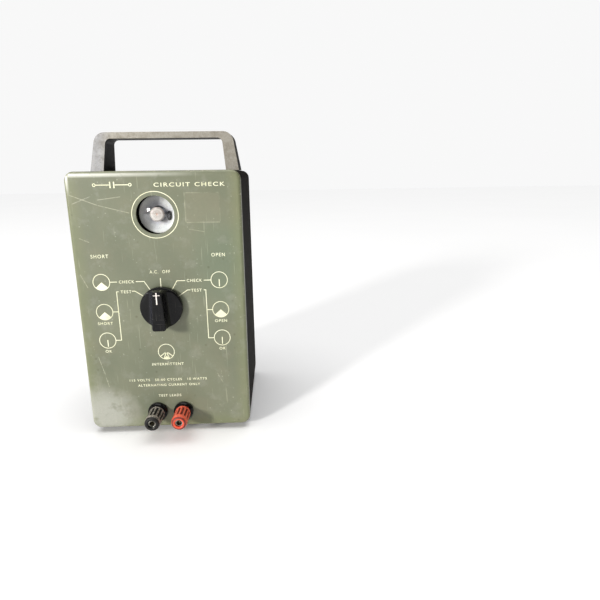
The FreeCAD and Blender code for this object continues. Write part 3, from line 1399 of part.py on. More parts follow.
def wire_solid(route):
    """One wire: straight runs joined by tangent arcs, in the tester's own frame."""
    points = []
    for x, depth, height in route:
        y = face_y + depth
        z = foot_height + height
        points.append(Vector(as_size(x).value, y.value, z.value))
    edges = []
    start = points[0]
    for before, corner, after in zip(points, points[1:], points[2:]):
        back = (before - corner).normalize()
        ahead = (after - corner).normalize()
        turn = math.pi - back.getAngle(ahead)
        shorter = min((before - corner).Length, (after - corner).Length)
        reach = 0.45 * shorter
        radius = reach / math.tan(turn / 2)
        entry = corner + back * reach
        leave = corner + ahead * reach
        centre_line = (back + ahead).normalize()
        middle = corner + centre_line * (math.hypot(reach, radius) - radius)
        edges.append(Part.LineSegment(start, entry).toShape())
        edges.append(Part.Arc(entry, middle, leave).toShape())
        start = leave
    edges.append(Part.LineSegment(start, points[-1]).toShape())
    path = Part.Wire(edges)
    direction = points[1] - points[0]
    section = Part.Wire(Part.makeCircle(wire_radius.value, points[0], direction))
    return path.makePipeShell([section], True, True)


def build_all():
    front_panel()
    cabinet_shell()
    handle()
    handle_fasteners()
    rubber_feet()
    back_fittings()
    switch_frame()
    switch_nut()
    switch_lockwasher()
    switch_shaft()
    detent()
    switch_wafer()
    knob()
    for colour, side in (("black", -1), ("red", 1)):
        binding_post(colour, side)
    post_hardware()
    eye_tube()
    chassis_plate()
    transformer()
    chassis_screws()
    filter_capacitor()
    oscillator_tube()
    rf_coil()
    selenium_rectifier()
    wiring()


def check_all():
    """Stop if any object failed or any piece is not a valid closed shape."""
    document.recompute()
    for item in document.Objects:
        if "Invalid" in item.State or "Error" in item.State:
            raise RuntimeError(f"{item.Label} failed: {item.State}")
    for item in nodes:
        shape = item.Shape
        if shape.isNull() or not shape.isValid() or not shape.Solids:
            raise RuntimeError(item.Label + " has no valid solid")


def write_all():
    os.makedirs("parts", exist_ok=True)
    for item in nodes:
        item.Shape.exportStep(os.path.join("parts", item.Label + ".step"))
        box = item.Shape.BoundBox
        print(f"{item.Label}: {len(item.Shape.Solids)} solid(s), {item.Shape.Volume:.1f} mm3, "
              f"{box.XLength:.1f} x {box.YLength:.1f} x {box.ZLength:.1f}")


build_all()
check_all()
write_all()
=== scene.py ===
import math

import bmesh
import bpy
from mathutils import Matrix, Vector


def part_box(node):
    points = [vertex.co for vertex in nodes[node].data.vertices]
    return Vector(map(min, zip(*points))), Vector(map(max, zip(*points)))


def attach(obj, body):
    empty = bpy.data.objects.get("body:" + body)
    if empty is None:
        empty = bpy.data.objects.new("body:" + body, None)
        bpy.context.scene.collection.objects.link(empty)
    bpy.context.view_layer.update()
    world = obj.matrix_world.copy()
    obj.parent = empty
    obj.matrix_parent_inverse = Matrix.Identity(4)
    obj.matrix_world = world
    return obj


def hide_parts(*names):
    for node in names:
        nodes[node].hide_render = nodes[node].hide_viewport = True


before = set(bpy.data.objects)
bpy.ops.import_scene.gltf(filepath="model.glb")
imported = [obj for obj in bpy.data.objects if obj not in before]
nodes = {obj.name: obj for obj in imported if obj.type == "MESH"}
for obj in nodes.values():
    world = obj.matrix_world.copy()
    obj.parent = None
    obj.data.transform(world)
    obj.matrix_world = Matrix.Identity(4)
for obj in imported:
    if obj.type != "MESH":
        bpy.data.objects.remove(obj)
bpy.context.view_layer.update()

# ---- places, all from the frame
MM = 0.001


def middle(name):
    """Centre of a CAD node's box."""
    low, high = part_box(name)
    return (low + high) / 2


panel_low, panel_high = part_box("front_panel")
PANEL_FRONT = panel_low.y
PANEL_BOTTOM = panel_low.z
PANEL_TOP = panel_high.z
PANEL_HALF = panel_high.x
EYE = middle("eye_tube_glass")
SHAFT = middle("switch_shaft")
POST_X = middle("red_post_stud").x
POST_Z = middle("red_post_stud").z


def on_panel(x, height, proud=0.0):
    """Row-frame point of a place on the panel: millimetres from its centre line, up from its
    bottom edge and out of its front face."""
    return Vector((x * MM, PANEL_FRONT - proud * MM, PANEL_BOTTOM + height * MM))


# ---- mesh helpers

def fill(shell, vertices, faces):
    made = [shell.verts.new(vertex) for vertex in vertices]
    for face in faces:
        shell.faces.new([made[index] for index in face])


def show(name, data):
    """A new object in the scene for a mesh, curve, lamp or camera."""
    shown = bpy.data.objects.new(name, data)
    bpy.context.scene.collection.objects.link(shown)
    return shown


def add_piece(name, vertices, faces, finish, body="root", crease=40):
    """A shaded mesh piece that rides on a body."""
    shell = bmesh.new()
    fill(shell, vertices, faces)
    bmesh.ops.remove_doubles(shell, verts=shell.verts, dist=1e-7)
    bmesh.ops.recalc_face_normals(shell, faces=shell.faces)
    return finish_piece(name, shell, finish, body, crease)


def finish_piece(name, shell, finish, body="root", crease=40):
    mesh = bpy.data.meshes.new(name)
    shell.to_mesh(mesh)
    shell.free()
    mesh.shade_smooth()
    mesh.set_sharp_from_angle(angle=math.radians(crease))
    mesh.materials.append(finish)
    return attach(show(name, mesh), body)


def skin(loops, joined=False):
    """Vertices and faces of the surface through loops of equally many points. Its ends are capped,
    or joined to each other."""
    count = len(loops[0])
    vertices = [point for loop in loops for point in loop]
    faces = []
    for row in range(len(loops) if joined else len(loops) - 1):
        here = row * count
        there = (row + 1) % len(loops) * count
        for step in range(count):
            after = (step + 1) % count
            faces.append((here + step, here + after, there + after, there + step))
    if not joined:
        faces.append(tuple(range(count)))
        faces.append(tuple(range((len(loops) - 1) * count, len(loops) * count)))
    return vertices, faces


def softened(corners, steps=5, closed=False):
    """Points of an outline whose corners (u, v, rounding) are rounded off."""
    points = []
    for index, (u, v, rounding) in enumerate(corners):
        here = Vector((u, v))
        at_end = not closed and index in (0, len(corners) - 1)
        if rounding == 0 or at_end:
            points.append(here)
            continue
        before = Vector(corners[index - 1][:2])
        after = Vector(corners[(index + 1) % len(corners)][:2])
        start = here + (before - here).normalized() * rounding
        end = here + (after - here).normalized() * rounding
        for step in range(steps + 1):
            share = step / steps
            points.append(start * (1 - share) ** 2 + here * 2 * share * (1 - share) + end * share ** 2)
    return points


def circle(steps):
    """Angles of evenly spaced points round a circle."""
    return [2 * math.pi * step / steps for step in range(steps)]


def turned(profile, x, z, steps):
    """Loops of a turned shape about an axis along Y. The profile is (radius, y) in metres."""
    return [[Vector((x + radius * math.sin(a), y, z + radius * math.cos(a))) for a in circle(steps)]
            for radius, y in profile]


# ---- finish helpers

def tint(red, green, blue):
    """Linear colour of an sRGB triple from 0 to 255."""
    def straight(value):
        value /= 255
        return value / 12.92 if value <= 0.04045 else ((value + 0.055) / 1.055) ** 2.4
    return (straight(red), straight(green), straight(blue), 1.0)


class Finish:
    """A procedural material and short calls for the nodes that it is made of."""

    def __init__(self, name, roughness=0.5, metallic=0.0, gloss=0.5, **sockets):
        self.material = bpy.data.materials.new(name)
        self.material.use_nodes = True
        self.tree = self.material.node_tree
        self.shader = self.tree.nodes["Principled BSDF"]
        self.shader.inputs["Roughness"].default_value = roughness
        self.shader.inputs["Metallic"].default_value = metallic
        self.shader.inputs["Specular IOR Level"].default_value = gloss
        for socket, value in sockets.items():
            self.shader.inputs[socket].default_value = value
        self.place = self.add("ShaderNodeTexCoord").outputs["Object"]
        split = self.add("ShaderNodeSeparateXYZ")
        self.feed(split.inputs[0], self.place)
        self.x, self.y, self.z = split.outputs
        facing = self.add("ShaderNodeSeparateXYZ")
        self.feed(facing.inputs[0], self.add("ShaderNodeTexCoord").outputs["Normal"])
        self.facing_x, self.facing_y, self.facing_z = facing.outputs

    def add(self, kind, **settings):
        made = self.tree.nodes.new(kind)
        for name, value in settings.items():
            setattr(made, name, value)
        return made

    def feed(self, socket, value):
        """Links a socket or sets its value. Colours are sRGB triples from 0 to 255."""
        if isinstance(value, bpy.types.NodeSocket):
            self.tree.links.new(value, socket)
        else:
            socket.default_value = tint(*value) if isinstance(value, tuple) else value

    def calc(self, operation, first, second=0.0, clamp=False):
        made = self.add("ShaderNodeMath", operation=operation, use_clamp=clamp)
        self.feed(made.inputs[0], first)
        self.feed(made.inputs[1], second)
        return made.outputs[0]

    def chain(self, operation, values):
        """One value after the other worked into the first."""
        result = values[0]
        for value in values[1:]:
            result = self.calc(operation, result, value)
        return result

    def times(self, *values):
        return self.chain("MULTIPLY", values)

    def plus(self, *values):
        return self.chain("ADD", values)

    def most(self, *values):
        return self.chain("MAXIMUM", values)

    def fade(self, value, low, high, top=1.0):
        """0 where value is low, rising to top where it is high."""
        made = self.add("ShaderNodeMapRange", clamp=True)
        self.feed(made.inputs["Value"], value)
        made.inputs["From Min"].default_value = low
        made.inputs["From Max"].default_value = high
        made.inputs["To Max"].default_value = top
        return made.outputs[0]

    def mist(self, low, high, *noise):
        """A noise value faded from 0 at low to 1 at high."""
        return self.fade(self.noise(*noise), low, high)

    def spread(self, stretch=(1, 1, 1), turn=(0, 0, 0), shift=(0, 0, 0)):
        made = self.add("ShaderNodeMapping")
        self.feed(made.inputs["Vector"], self.place)
        made.inputs["Scale"].default_value = stretch
        made.inputs["Rotation"].default_value = [math.radians(angle) for angle in turn]
        made.inputs["Location"].default_value = shift
        return made.outputs[0]

    def noise(self, size, detail=3.0, rough=0.55, where=None):
        """Cloudy values round 0.5 whose lumps are about size millimetres across."""
        made = self.add("ShaderNodeTexNoise")
        self.feed(made.inputs["Vector"], where or self.place)
        made.inputs["Scale"].default_value = 1 / (size * MM)
        made.inputs["Detail"].default_value = detail
        made.inputs["Roughness"].default_value = rough
        return made.outputs[0]

    def cells(self, size, output="Distance", where=None, feature="F1"):
        made = self.add("ShaderNodeTexVoronoi", feature=feature)
        self.feed(made.inputs["Vector"], where or self.place)
        made.inputs["Scale"].default_value = 1 / (size * MM)
        return made.outputs[output]

    def specks(self, size, share, where=None):
        """Small round dots about size millimetres apart, of which a share shows."""
        dots = self.fade(self.cells(size, where=where), 0.22, 0.08)
        chance = self.add("ShaderNodeSeparateColor")
        self.feed(chance.inputs[0], self.cells(size, "Color", where=where))
        return self.times(dots, self.calc("LESS_THAN", chance.outputs[0], share))

    def blend(self, share, first, second):
        made = self.add("ShaderNodeMix", data_type="RGBA")
        self.feed(made.inputs[0], share)
        self.feed(made.inputs[6], first)
        self.feed(made.inputs[7], second)
        return made.outputs[2]

    def clouded(self, value, first, second, low=0.35, high=0.65):
        """The first colour, turning to the second where a noise value is high."""
        return self.blend(self.fade(value, low, high), first, second)

    def colour(self, *layers):
        """Base colour: a first colour, then layers of (shares to multiply, colour) over it."""
        result = layers[0]
        for *shares, over in layers[1:]:
            result = self.blend(self.times(*shares), result, over)
        self.feed(self.shader.inputs["Base Color"], result)

    def roughness(self, base, *layers):
        """Roughness: a base, plus layers of (value, share)."""
        added = [self.times(value, share) for value, share in layers]
        self.feed(self.shader.inputs["Roughness"], self.plus(base, *added))

    def metal(self, value):
        self.feed(self.shader.inputs["Metallic"], value)

    def relief(self, *layers):
        """Bump: (height from 0 to 1, depth in millimetres) layers."""
        result = None
        for height, depth in layers:
            made = self.add("ShaderNodeBump")
            made.inputs["Strength"].default_value = 1.0
            made.inputs["Distance"].default_value = depth * MM
            self.feed(made.inputs["Height"], height)
            if result is not None:
                self.feed(made.inputs["Normal"], result)
            result = made.outputs[0]
        self.feed(self.shader.inputs["Normal"], result)

    def near_edge(self, node, from_edge, to_face):
        """1 along a box-shaped node's edges, falling to 0 on its faces, by millimetres."""
        low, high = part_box(node)
        gaps = []
        for place, least, greatest in zip((self.x, self.y, self.z), low, high):
            centre = (least + greatest) / 2
            away = self.calc("ABSOLUTE", self.calc("SUBTRACT", place, centre))
            gaps.append(self.calc("SUBTRACT", (greatest - least) / 2, away))
        pairs = [self.calc("MAXIMUM", gaps[i], gaps[j]) for i, j in ((0, 1), (0, 2), (1, 2))]
        nearest = self.calc("MINIMUM", self.calc("MINIMUM", pairs[0], pairs[1]), pairs[2])
        return self.fade(nearest, to_face * MM, from_edge * MM)

    def mark(self, start, end, width):
        """1 along a straight mark on the panel between two (x, height) places, in millimetres."""
        a = on_panel(*start)
        b = on_panel(*end)
        along = (b - a).normalized()
        length = (b - a).length
        right = self.calc("SUBTRACT", self.x, a.x)
        up = self.calc("SUBTRACT", self.z, a.z)
        travel = self.plus(self.times(right, along.x), self.times(up, along.z))
        off = self.calc("ABSOLUTE", self.calc("SUBTRACT", self.times(right, along.z),
                                              self.times(up, along.x)))
        ends = self.calc("MINIMUM", travel, self.calc("SUBTRACT", length, travel))
        return self.times(self.fade(off, width * MM, width * MM * 0.3), self.fade(ends, 0.0, 0.6 * MM))

    def patch(self, x, height, wide, tall):
        """1 at a place on the panel, fading to 0 at the edge of an oval round it (half-sizes in mm)."""
        place = on_panel(x, height)
        right = self.calc("DIVIDE", self.calc("SUBTRACT", self.x, place.x), wide * MM)
        up = self.calc("DIVIDE", self.calc("SUBTRACT", self.z, place.z), tall * MM)
        return self.fade(self.plus(self.times(right, right), self.times(up, up)), 1.0, 0.1)

    def from_axis(self, centre_x, centre_z):
        """Distance from an axis along Y, and from its mirror image, in metres."""
        right = self.calc("SUBTRACT", self.calc("ABSOLUTE", self.x), centre_x)
        up = self.calc("SUBTRACT", self.z, centre_z)
        return self.calc("SQRT", self.plus(self.times(right, right), self.times(up, up)))


# ---- finishes

# scratches on the panel: from (x, height) to (x, height), and how wide, all in millimetres
SCRATCHES = [
    ((-56, 172), (-38, 165), 0.36), ((-38, 165), (-17, 159.5), 0.34),
    ((-38, 168.5), (-22, 170.5), 0.30), ((-55, 166), (-42, 171), 0.22),
    ((-49, 57), (-45.5, 43), 0.30), ((-45.2, 41), (-43.5, 33), 0.26),
    ((-55, 118), (-50.5, 108), 0.34), ((36, 42), (40, 34), 0.26),
    ((-53, 143), (-46, 140), 0.32), ((22, 148), (33, 146), 0.20)]
# the pale outline and the browned field that a sticker left
STICKER_LEFT = 20.5
STICKER_RIGHT = 44
STICKER_LOW = 152.5
STICKER_HIGH = 172.5
STICKER_EDGES = [
    ((STICKER_LEFT, STICKER_LOW), (STICKER_LEFT, 173), 0.55),
    ((STICKER_LEFT, STICKER_LOW), (STICKER_RIGHT, STICKER_LOW), 0.5),
    ((21, STICKER_HIGH), (STICKER_RIGHT, STICKER_HIGH), 0.5),
    ((STICKER_RIGHT, 153), (STICKER_RIGHT, 172), 0.45)]


def panel_enamel():
    """Sage-green enamel, hazed and speckled, scratched, and worn through along its rolled edge; with
    painted light too: a glare in the lower-left corner, a highlight and a sheen on the rolled edge, and
    shade on its back.
    """
    f = Finish("panel_enamel")
    clouds = f.noise(46, 2.0)
    haze = f.noise(11, 6.0, 0.66)
    grain = f.noise(1.6, 3.0, 0.7)
    smudges = f.fade(haze, 0.53, 0.70)
    rubbed = f.mist(0.60, 0.78, 5, 4.0, 0.7, f.spread((1, 1, 0.35), (0, 12, 0)))
    flecks = f.times(f.specks(2.6, 0.30), f.fade(haze, 0.44, 0.60))
    dirt = f.specks(5.3, 0.10, f.spread(shift=(0.3, 0, 0.1)))
    hairs = f.mist(0.71, 0.79, 1.1, 1.0, 0.4, f.spread((1, 1, 0.045), (0, 62, 0)))
    cross = f.mist(0.73, 0.80, 1.3, 1.0, 0.4, f.spread((1, 1, 0.06), (0, -24, 0), (0.2, 0, 0)))
    scratches = f.most(*[f.mark(*scratch) for scratch in SCRATCHES])
    label = f.most(*[f.mark(*edge) for edge in STICKER_EDGES])
    left, right = STICKER_LEFT * MM, STICKER_RIGHT * MM
    low, high = on_panel(0, STICKER_LOW).z, on_panel(0, STICKER_HIGH).z
    inside = f.times(f.fade(f.x, left, left + 0.5 * MM), f.fade(f.x, right, right - 0.5 * MM),
                     f.fade(f.z, low, low + 0.5 * MM), f.fade(f.z, high, high - 0.5 * MM))
    # painted reflection: a pale glare over the lower-left corner, where the floor shows in the
    # semi-gloss enamel
    painted_corner_glare = f.times(f.patch(-50, 11, 30, 25), f.fade(haze, 0.22, 0.50))
    green_side = f.patch(46, 124, 26, 40)
    yellow_edge = f.most(f.fade(f.calc("ABSOLUTE", f.x), PANEL_HALF - 11 * MM, PANEL_HALF),
                         f.fade(f.z, PANEL_BOTTOM + 12 * MM, PANEL_BOTTOM))
    roll = f.fade(f.y, PANEL_FRONT + 0.20 * MM, PANEL_FRONT + 1.0 * MM)
    chips = f.times(roll, f.mist(0.57, 0.64, 2.0, 5.0, 0.72))
    top_right = f.times(f.fade(f.x, -10 * MM, PANEL_HALF),
                        f.fade(f.z, PANEL_TOP - 60 * MM, PANEL_TOP - 6 * MM))
    low_right = f.times(f.fade(f.x, 30 * MM, PANEL_HALF),
                        f.fade(f.z, PANEL_BOTTOM + 50 * MM, PANEL_BOTTOM + 10 * MM))
    bare = f.times(chips, f.fade(f.most(top_right, low_right, 0.30), 0.15, 0.6))
    from_top = f.calc("SUBTRACT", PANEL_TOP, f.z)
    from_left = f.calc("ADD", f.x, PANEL_HALF)
    # painted highlight: a bright band along the rolled edge at the top and at the top of the left side,
    # strongest near the top-left corner
    top_highlight_band = f.times(f.fade(from_top, 1.0 * MM, 1.7 * MM), f.fade(from_top, 4.2 * MM, 2.6 * MM),
                       f.fade(f.x, 35 * MM, -45 * MM), f.fade(from_left, 2.4 * MM, 4.0 * MM))
    left_highlight_band = f.times(f.fade(from_left, 0.9 * MM, 1.5 * MM), f.fade(from_left, 3.6 * MM, 2.4 * MM),
                        f.fade(from_top, 16 * MM, 5 * MM), f.fade(from_top, 1.8 * MM, 3.0 * MM))
    painted_rim_highlight = f.times(f.most(top_highlight_band, left_highlight_band), f.mist(0.26, 0.42, 7, 4.0))
    # painted shade: a darker green on the back of the rolled edge, where it turns away from the light
    outline = f.fade(f.y, PANEL_FRONT + 1.3 * MM, PANEL_FRONT + 2.1 * MM)
    # a paler band round the rolled edge: partly worn paint, partly a painted sheen
    roll_wear_and_sheen = f.times(roll, f.mist(0.35, 0.65, 8, 3.0), 0.55)
    f.colour(
        f.clouded(clouds, (106, 111, 90), (118, 121, 99), 0.36, 0.64),
        (green_side, 0.55, (106, 120, 98)),
        (f.mist(0.50, 0.72, 30, 4.0, 0.6, f.spread(shift=(0.1, 0.2, 0))), 0.35,
         (132, 125, 102)),
        (yellow_edge, 0.50, (130, 134, 92)),
        (smudges, 0.36, (148, 149, 136)),
        (rubbed, 0.24, (144, 146, 126)),
        # painted glare in the lower-left corner
        (painted_corner_glare, 0.85, (176, 176, 166)),
        (inside, 0.22, (144, 138, 116)),
        (f.fade(grain, 0.30, 0.72), 0.14, (98, 102, 80)),
        (label, f.fade(haze, 0.40, 0.60), 0.42, (186, 184, 160)),
        (f.most(hairs, cross), 0.26, (184, 184, 160)),
        (scratches, f.fade(grain, 0.30, 0.50), 0.55, (190, 188, 164)),
        (flecks, 0.55, (192, 192, 174)),
        (dirt, 0.50, (84, 84, 62)),
        # worn paint and painted sheen on the rolled edge
        (roll_wear_and_sheen, (136, 138, 100)),
        # painted shade on the back of the rolled edge
        (outline, 0.75, (74, 78, 52)),
        # painted highlight on the rolled edge
        (painted_rim_highlight, 0.85, (228, 228, 216)),
        (bare, (190, 186, 164)))
    f.roughness(0.30, (smudges, 0.16), (grain, 0.12), (rubbed, 0.10))
    f.relief((f.noise(1.9, 2.0), 0.05), (grain, 0.012), (f.times(scratches, -1.0), 0.03),
        (f.times(bare, -1.0), 0.08))
    return f.material


def print_ink():
    """Cream screen-printed ink, thin in places so that the enamel shows through."""
    f = Finish("print_ink", 0.42)
    thin = f.mist(0.56, 0.72, 0.9, 4.0, 0.7)
    stain = f.mist(0.40, 0.70, 11, 3.0)
    f.colour(f.blend(stain, (244, 243, 214), (226, 224, 186)),
        (thin, 0.45, (150, 152, 124)))
    f.roughness(0.36, (thin, 0.2))
    f.relief((f.noise(0.35, 2.0), 0.01))
    return f.material


def cabinet_enamel():
    """Dark brown-black wrinkle enamel, dusty on top and rubbed to grey along its edges."""
    f = Finish("cabinet_enamel", gloss=0.04)
    wrinkle = f.cells(1.05, where=f.spread((1, 1, 0.8)), feature="SMOOTH_F1")
    fine = f.noise(0.5, 3.0, 0.6)
    clouds = f.noise(34, 3.0)
    patchy = f.mist(0.46, 0.60, 24, 3.0)
    rubbed = f.times(f.near_edge("cabinet_shell", 0.8, 5.0),
                     f.mist(0.44, 0.66, 3.6, 6.0, 0.75), f.plus(0.35, f.times(patchy, 0.65)))
    bare = f.times(f.near_edge("cabinet_shell", 0.9, 1.9),
                   f.mist(0.58, 0.63, 1.3, 6.0, 0.78), patchy)
    scuffs = f.mist(0.72, 0.84, 1.9, 3.0, 0.6, f.spread((1, 0.16, 1), (24, 0, 33)))
    upright = f.mist(0.73, 0.85, 2.1, 3.0, 0.6, f.spread((1, 1, 0.12), (17, 31, 0)))
    specks = f.times(f.specks(2.3, 0.14), f.mist(0.42, 0.66, 17, 3.0))
    dust = f.times(f.fade(f.facing_z, 0.5, 1.0), f.mist(0.40, 0.75, 9, 5.0, 0.65))
    low_dirt = f.times(f.fade(f.z, 28 * MM, 6 * MM), f.mist(0.40, 0.60, 4, 4.0))
    f.colour(
        f.clouded(clouds, (20, 18, 16), (28, 25, 21)),
        (f.fade(wrinkle, 0.42, 0.10, 0.40), (54, 48, 41)),
        (dust, 0.15, (120, 114, 100)),
        (low_dirt, 0.14, (96, 86, 70)),
        (f.most(scuffs, upright), 0.30, (104, 98, 88)),
        (specks, 0.20, (104, 97, 84)),
        (rubbed, 0.34, (78, 72, 62)),
        (bare, (150, 146, 136)))
    f.metal(f.times(bare, 0.8))
    f.roughness(0.70, (clouds, 0.14), (dust, 0.12), (rubbed, -0.20))
    f.relief((wrinkle, 0.16), (fine, 0.03), (f.times(bare, -1.0), 0.06))
    return f.material


def handle_finish():
    """Die-cast handle: satin bare metal on its ground front and back, dark on its other faces."""
    f = Finish("handle_finish", gloss=0.3)
    ground = f.fade(f.calc("ABSOLUTE", f.facing_y), 0.55, 0.85)
    mottle = f.noise(1.0, 4.0, 0.75)
    clouds = f.noise(16, 3.0)
    grind = f.noise(0.5, 2.0, 0.6, f.spread((0.07, 1, 1), (0, 3, 0)))
    left_leg = f.fade(f.x, -38 * MM, -48 * MM)
    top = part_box("handle")[1].z
    on_top = f.times(f.fade(f.facing_z, 0.6, 0.9), f.fade(f.z, top - 6 * MM, top - 1 * MM))
    palm = f.times(on_top, f.fade(f.calc("ABSOLUTE", f.x), 46 * MM, 12 * MM))
    rubbed = f.times(palm, f.mist(0.34, 0.60, 5, 5.0, 0.65))
    chips = f.mist(0.61, 0.65, 2.4, 6.0, 0.78)
    metal = f.most(ground, f.times(rubbed, 0.85), f.times(chips, 0.7))
    grime = f.times(f.mist(0.48, 0.70, 7, 5.0, 0.7), ground)
    bright = f.blend(left_leg, (150, 145, 134), (148, 148, 150))
    f.colour(
        f.clouded(clouds, (30, 27, 24), (42, 37, 32)),
        (metal, bright),
        (metal, f.fade(mottle, 0.42, 0.66), 0.40, (186, 184, 178)),
        (grime, 0.42, (108, 98, 82)),
        (ground, f.specks(1.7, 0.30), 0.55, (66, 60, 52)))
    f.metal(f.times(metal, 0.55))
    f.roughness(0.46, (mottle, 0.20), (grime, 0.14))
    f.relief((mottle, 0.07), (grind, 0.02), (f.times(chips, -1.0), 0.04))
    return f.material


def bakelite():
    """Polished black phenolic with fine scuffs, finger haze and a little dust, and a painted bluish
    highlight on the left flanks of the knob's bar.
    """
    f = Finish("bakelite_black", gloss=0.15, IOR=1.6)
    haze = f.mist(0.42, 0.72, 7, 4.0, 0.6)
    hairs = f.mist(0.68, 0.78, 0.5, 1.0, 0.4, f.spread((1, 1, 0.05), (0, 35, 0)))
    hairs_across = f.mist(0.69, 0.79, 0.6, 1.0, 0.4, f.spread((0.05, 1, 1), (0, 20, 0)))
    dust = f.specks(1.1, 0.12)
    # painted highlight: a bluish-grey sheen on the bar's left-facing flanks, well off the panel
    painted_flank_highlight = f.times(f.fade(f.facing_x, -0.15, -0.65),
                         f.fade(f.y, PANEL_FRONT - 4 * MM, PANEL_FRONT - 9 * MM))
    f.colour((9, 9, 10), (painted_flank_highlight, 0.40, (54, 56, 70)),
        (haze, 0.35, (22, 21, 22)),
        (f.most(hairs, hairs_across), 0.30, (90, 86, 80)),
        (dust, 0.35, (120, 112, 98)))
    f.roughness(0.17, (haze, 0.17), (hairs, 0.15))
    f.relief((f.noise(3.2, 2.0), 0.03), (f.most(hairs, hairs_across), 0.004))
    return f.material


def rib_wear(f):
    """1 on the crowns of a post cap's ribs, and 1 in the grooves between them."""
    away = f.from_axis(POST_X, POST_Z)
    crown = f.fade(away, 5.20 * MM, 5.52 * MM)
    groove = f.fade(away, 5.20 * MM, 4.85 * MM)
    outside = f.fade(away, 3.6 * MM, 4.2 * MM)
    return crown, f.times(groove, outside)


def black_cap_plastic():
    """Black cap, its ribs rubbed grey and made paler still as a painted highlight, with grime in the
    grooves.
    """
    f = Finish("black_cap_plastic", gloss=0.3, IOR=1.55)
    crown, groove = rib_wear(f)
    mottle = f.noise(1.2, 4.0, 0.7)
    # the ribs' crowns: rubbed grey, and paler still as a painted highlight
    rub = f.times(crown, f.fade(mottle, 0.34, 0.56))
    f.colour((10, 9, 9), (rub, 0.78, (180, 172, 160)),
        (groove, f.fade(mottle, 0.45, 0.60), 0.40, (46, 38, 29)),
        (f.specks(0.9, 0.2), 0.4, (140, 132, 112)))
    f.roughness(0.20, (mottle, 0.16), (groove, 0.25))
    f.relief((f.noise(0.6, 3.0), 0.015))
    return f.material


def red_cap_plastic():
    """Red cap: bright on the ribs, darker in the grooves."""
    f = Finish("red_cap_plastic", IOR=1.5)
    crown, groove = rib_wear(f)
    mottle = f.noise(1.4, 4.0, 0.7)
    f.colour(f.clouded(f.noise(5, 3.0), (212, 74, 48), (228, 92, 62)),
        (crown, f.fade(mottle, 0.34, 0.60), 0.45, (246, 140, 112)),
        (groove, f.fade(mottle, 0.24, 0.48), 0.88, (52, 14, 12)),
        (f.specks(1.0, 0.18), 0.5, (120, 34, 26)))
    f.roughness(0.22, (mottle, 0.18), (groove, 0.25))
    f.relief((f.noise(0.6, 3.0), 0.015))
    f.shader.inputs["Subsurface Weight"].default_value = 0.08
    f.shader.inputs["Subsurface Radius"].default_value = (0.0012, 0.0004, 0.0003)
    return f.material


def pointer_paint():
    """White filling of the knob's engraved line, chipped a little; the same white paints the glint
    across the pointer's end.
    """
    f = Finish("pointer_paint", 0.4)
    chipped = f.mist(0.60, 0.68, 0.7, 4.0, 0.7)
    f.colour((240, 232, 224), (chipped, 0.6, (150, 132, 116)))
    f.relief((f.noise(0.4, 3.0), 0.02))
    return f.material


def plated(name, bright, dull, roughness, spangle=None):
    """Plated or bare metal: dulled in clouds, faintly scratched, spotted with tarnish."""
    f = Finish(name, metallic=1.0)
    clouds = f.mist(0.40, 0.70, 4, 4.0, 0.65)
    hairs = f.noise(0.35, 2.0, 0.5, f.spread((1, 1, 0.08), (20, 30, 0)))
    spots = f.specks(1.6, 0.22)
    layers = [bright, (f.times(clouds, 0.65), dull), (spots, 0.55, (92, 84, 70))]
    wear = f.plus(roughness, f.times(clouds, 0.18), f.times(hairs, 0.10))
    if spangle:
        crystal = f.add("ShaderNodeSeparateColor")
        f.feed(crystal.inputs[0], f.cells(spangle, "Color"))
        layers.append((crystal.outputs[0], 0.28, (206, 206, 200)))
        wear = f.plus(wear, f.times(crystal.outputs[1], 0.12))
    f.colour(*layers)
    f.roughness(wear)
    f.relief((hairs, 0.006), (f.noise(2.2, 2.0), 0.01))
    return f.material


def dusty_rubber():
    """Matt black rubber, greyed by dust and scuffed where it bears."""
    f = Finish("dusty_rubber")
    bloom = f.mist(0.40, 0.70, 3.5, 5.0, 0.7)
    scuff = f.times(f.fade(f.z, 1.2 * MM, 0.0), f.mist(0.36, 0.60, 2, 4.0))
    f.colour((27, 26, 25), (bloom, 0.45, (62, 58, 53)),
        (scuff, 0.5, (104, 96, 84)))
    f.roughness(0.66, (bloom, 0.22))
    f.relief((f.noise(0.5, 4.0, 0.7), 0.05))
    return f.material


def bulb_glass():
    """Clear soda glass with a few finger marks. It lets the lamps' light through unbent."""
    f = Finish("bulb_glass", 0.015, IOR=1.5)
    f.shader.inputs["Transmission Weight"].default_value = 1.0
    f.colour(f.blend(f.mist(0.42, 0.72, 9, 4.0), (250, 252, 252), (240, 244, 246)))
    f.roughness(f.fade(f.noise(6, 5.0, 0.65), 0.52, 0.80, 0.10))
    f.relief((f.noise(11, 1.0), 0.02))
    lamp_ray = f.add("ShaderNodeLightPath").outputs["Is Shadow Ray"]
    clear = f.add("ShaderNodeBsdfTransparent")
    f.feed(clear.inputs[0], (244, 246, 246))
    mix = f.add("ShaderNodeMixShader")
    f.feed(mix.inputs[0], lamp_ray)
    f.feed(mix.inputs[1], f.shader.outputs[0])
    f.feed(mix.inputs[2], clear.outputs[0])
    output = next(n for n in f.tree.nodes if n.type == "OUTPUT_MATERIAL")
    f.feed(output.inputs["Surface"], mix.outputs[0])
    return f.material


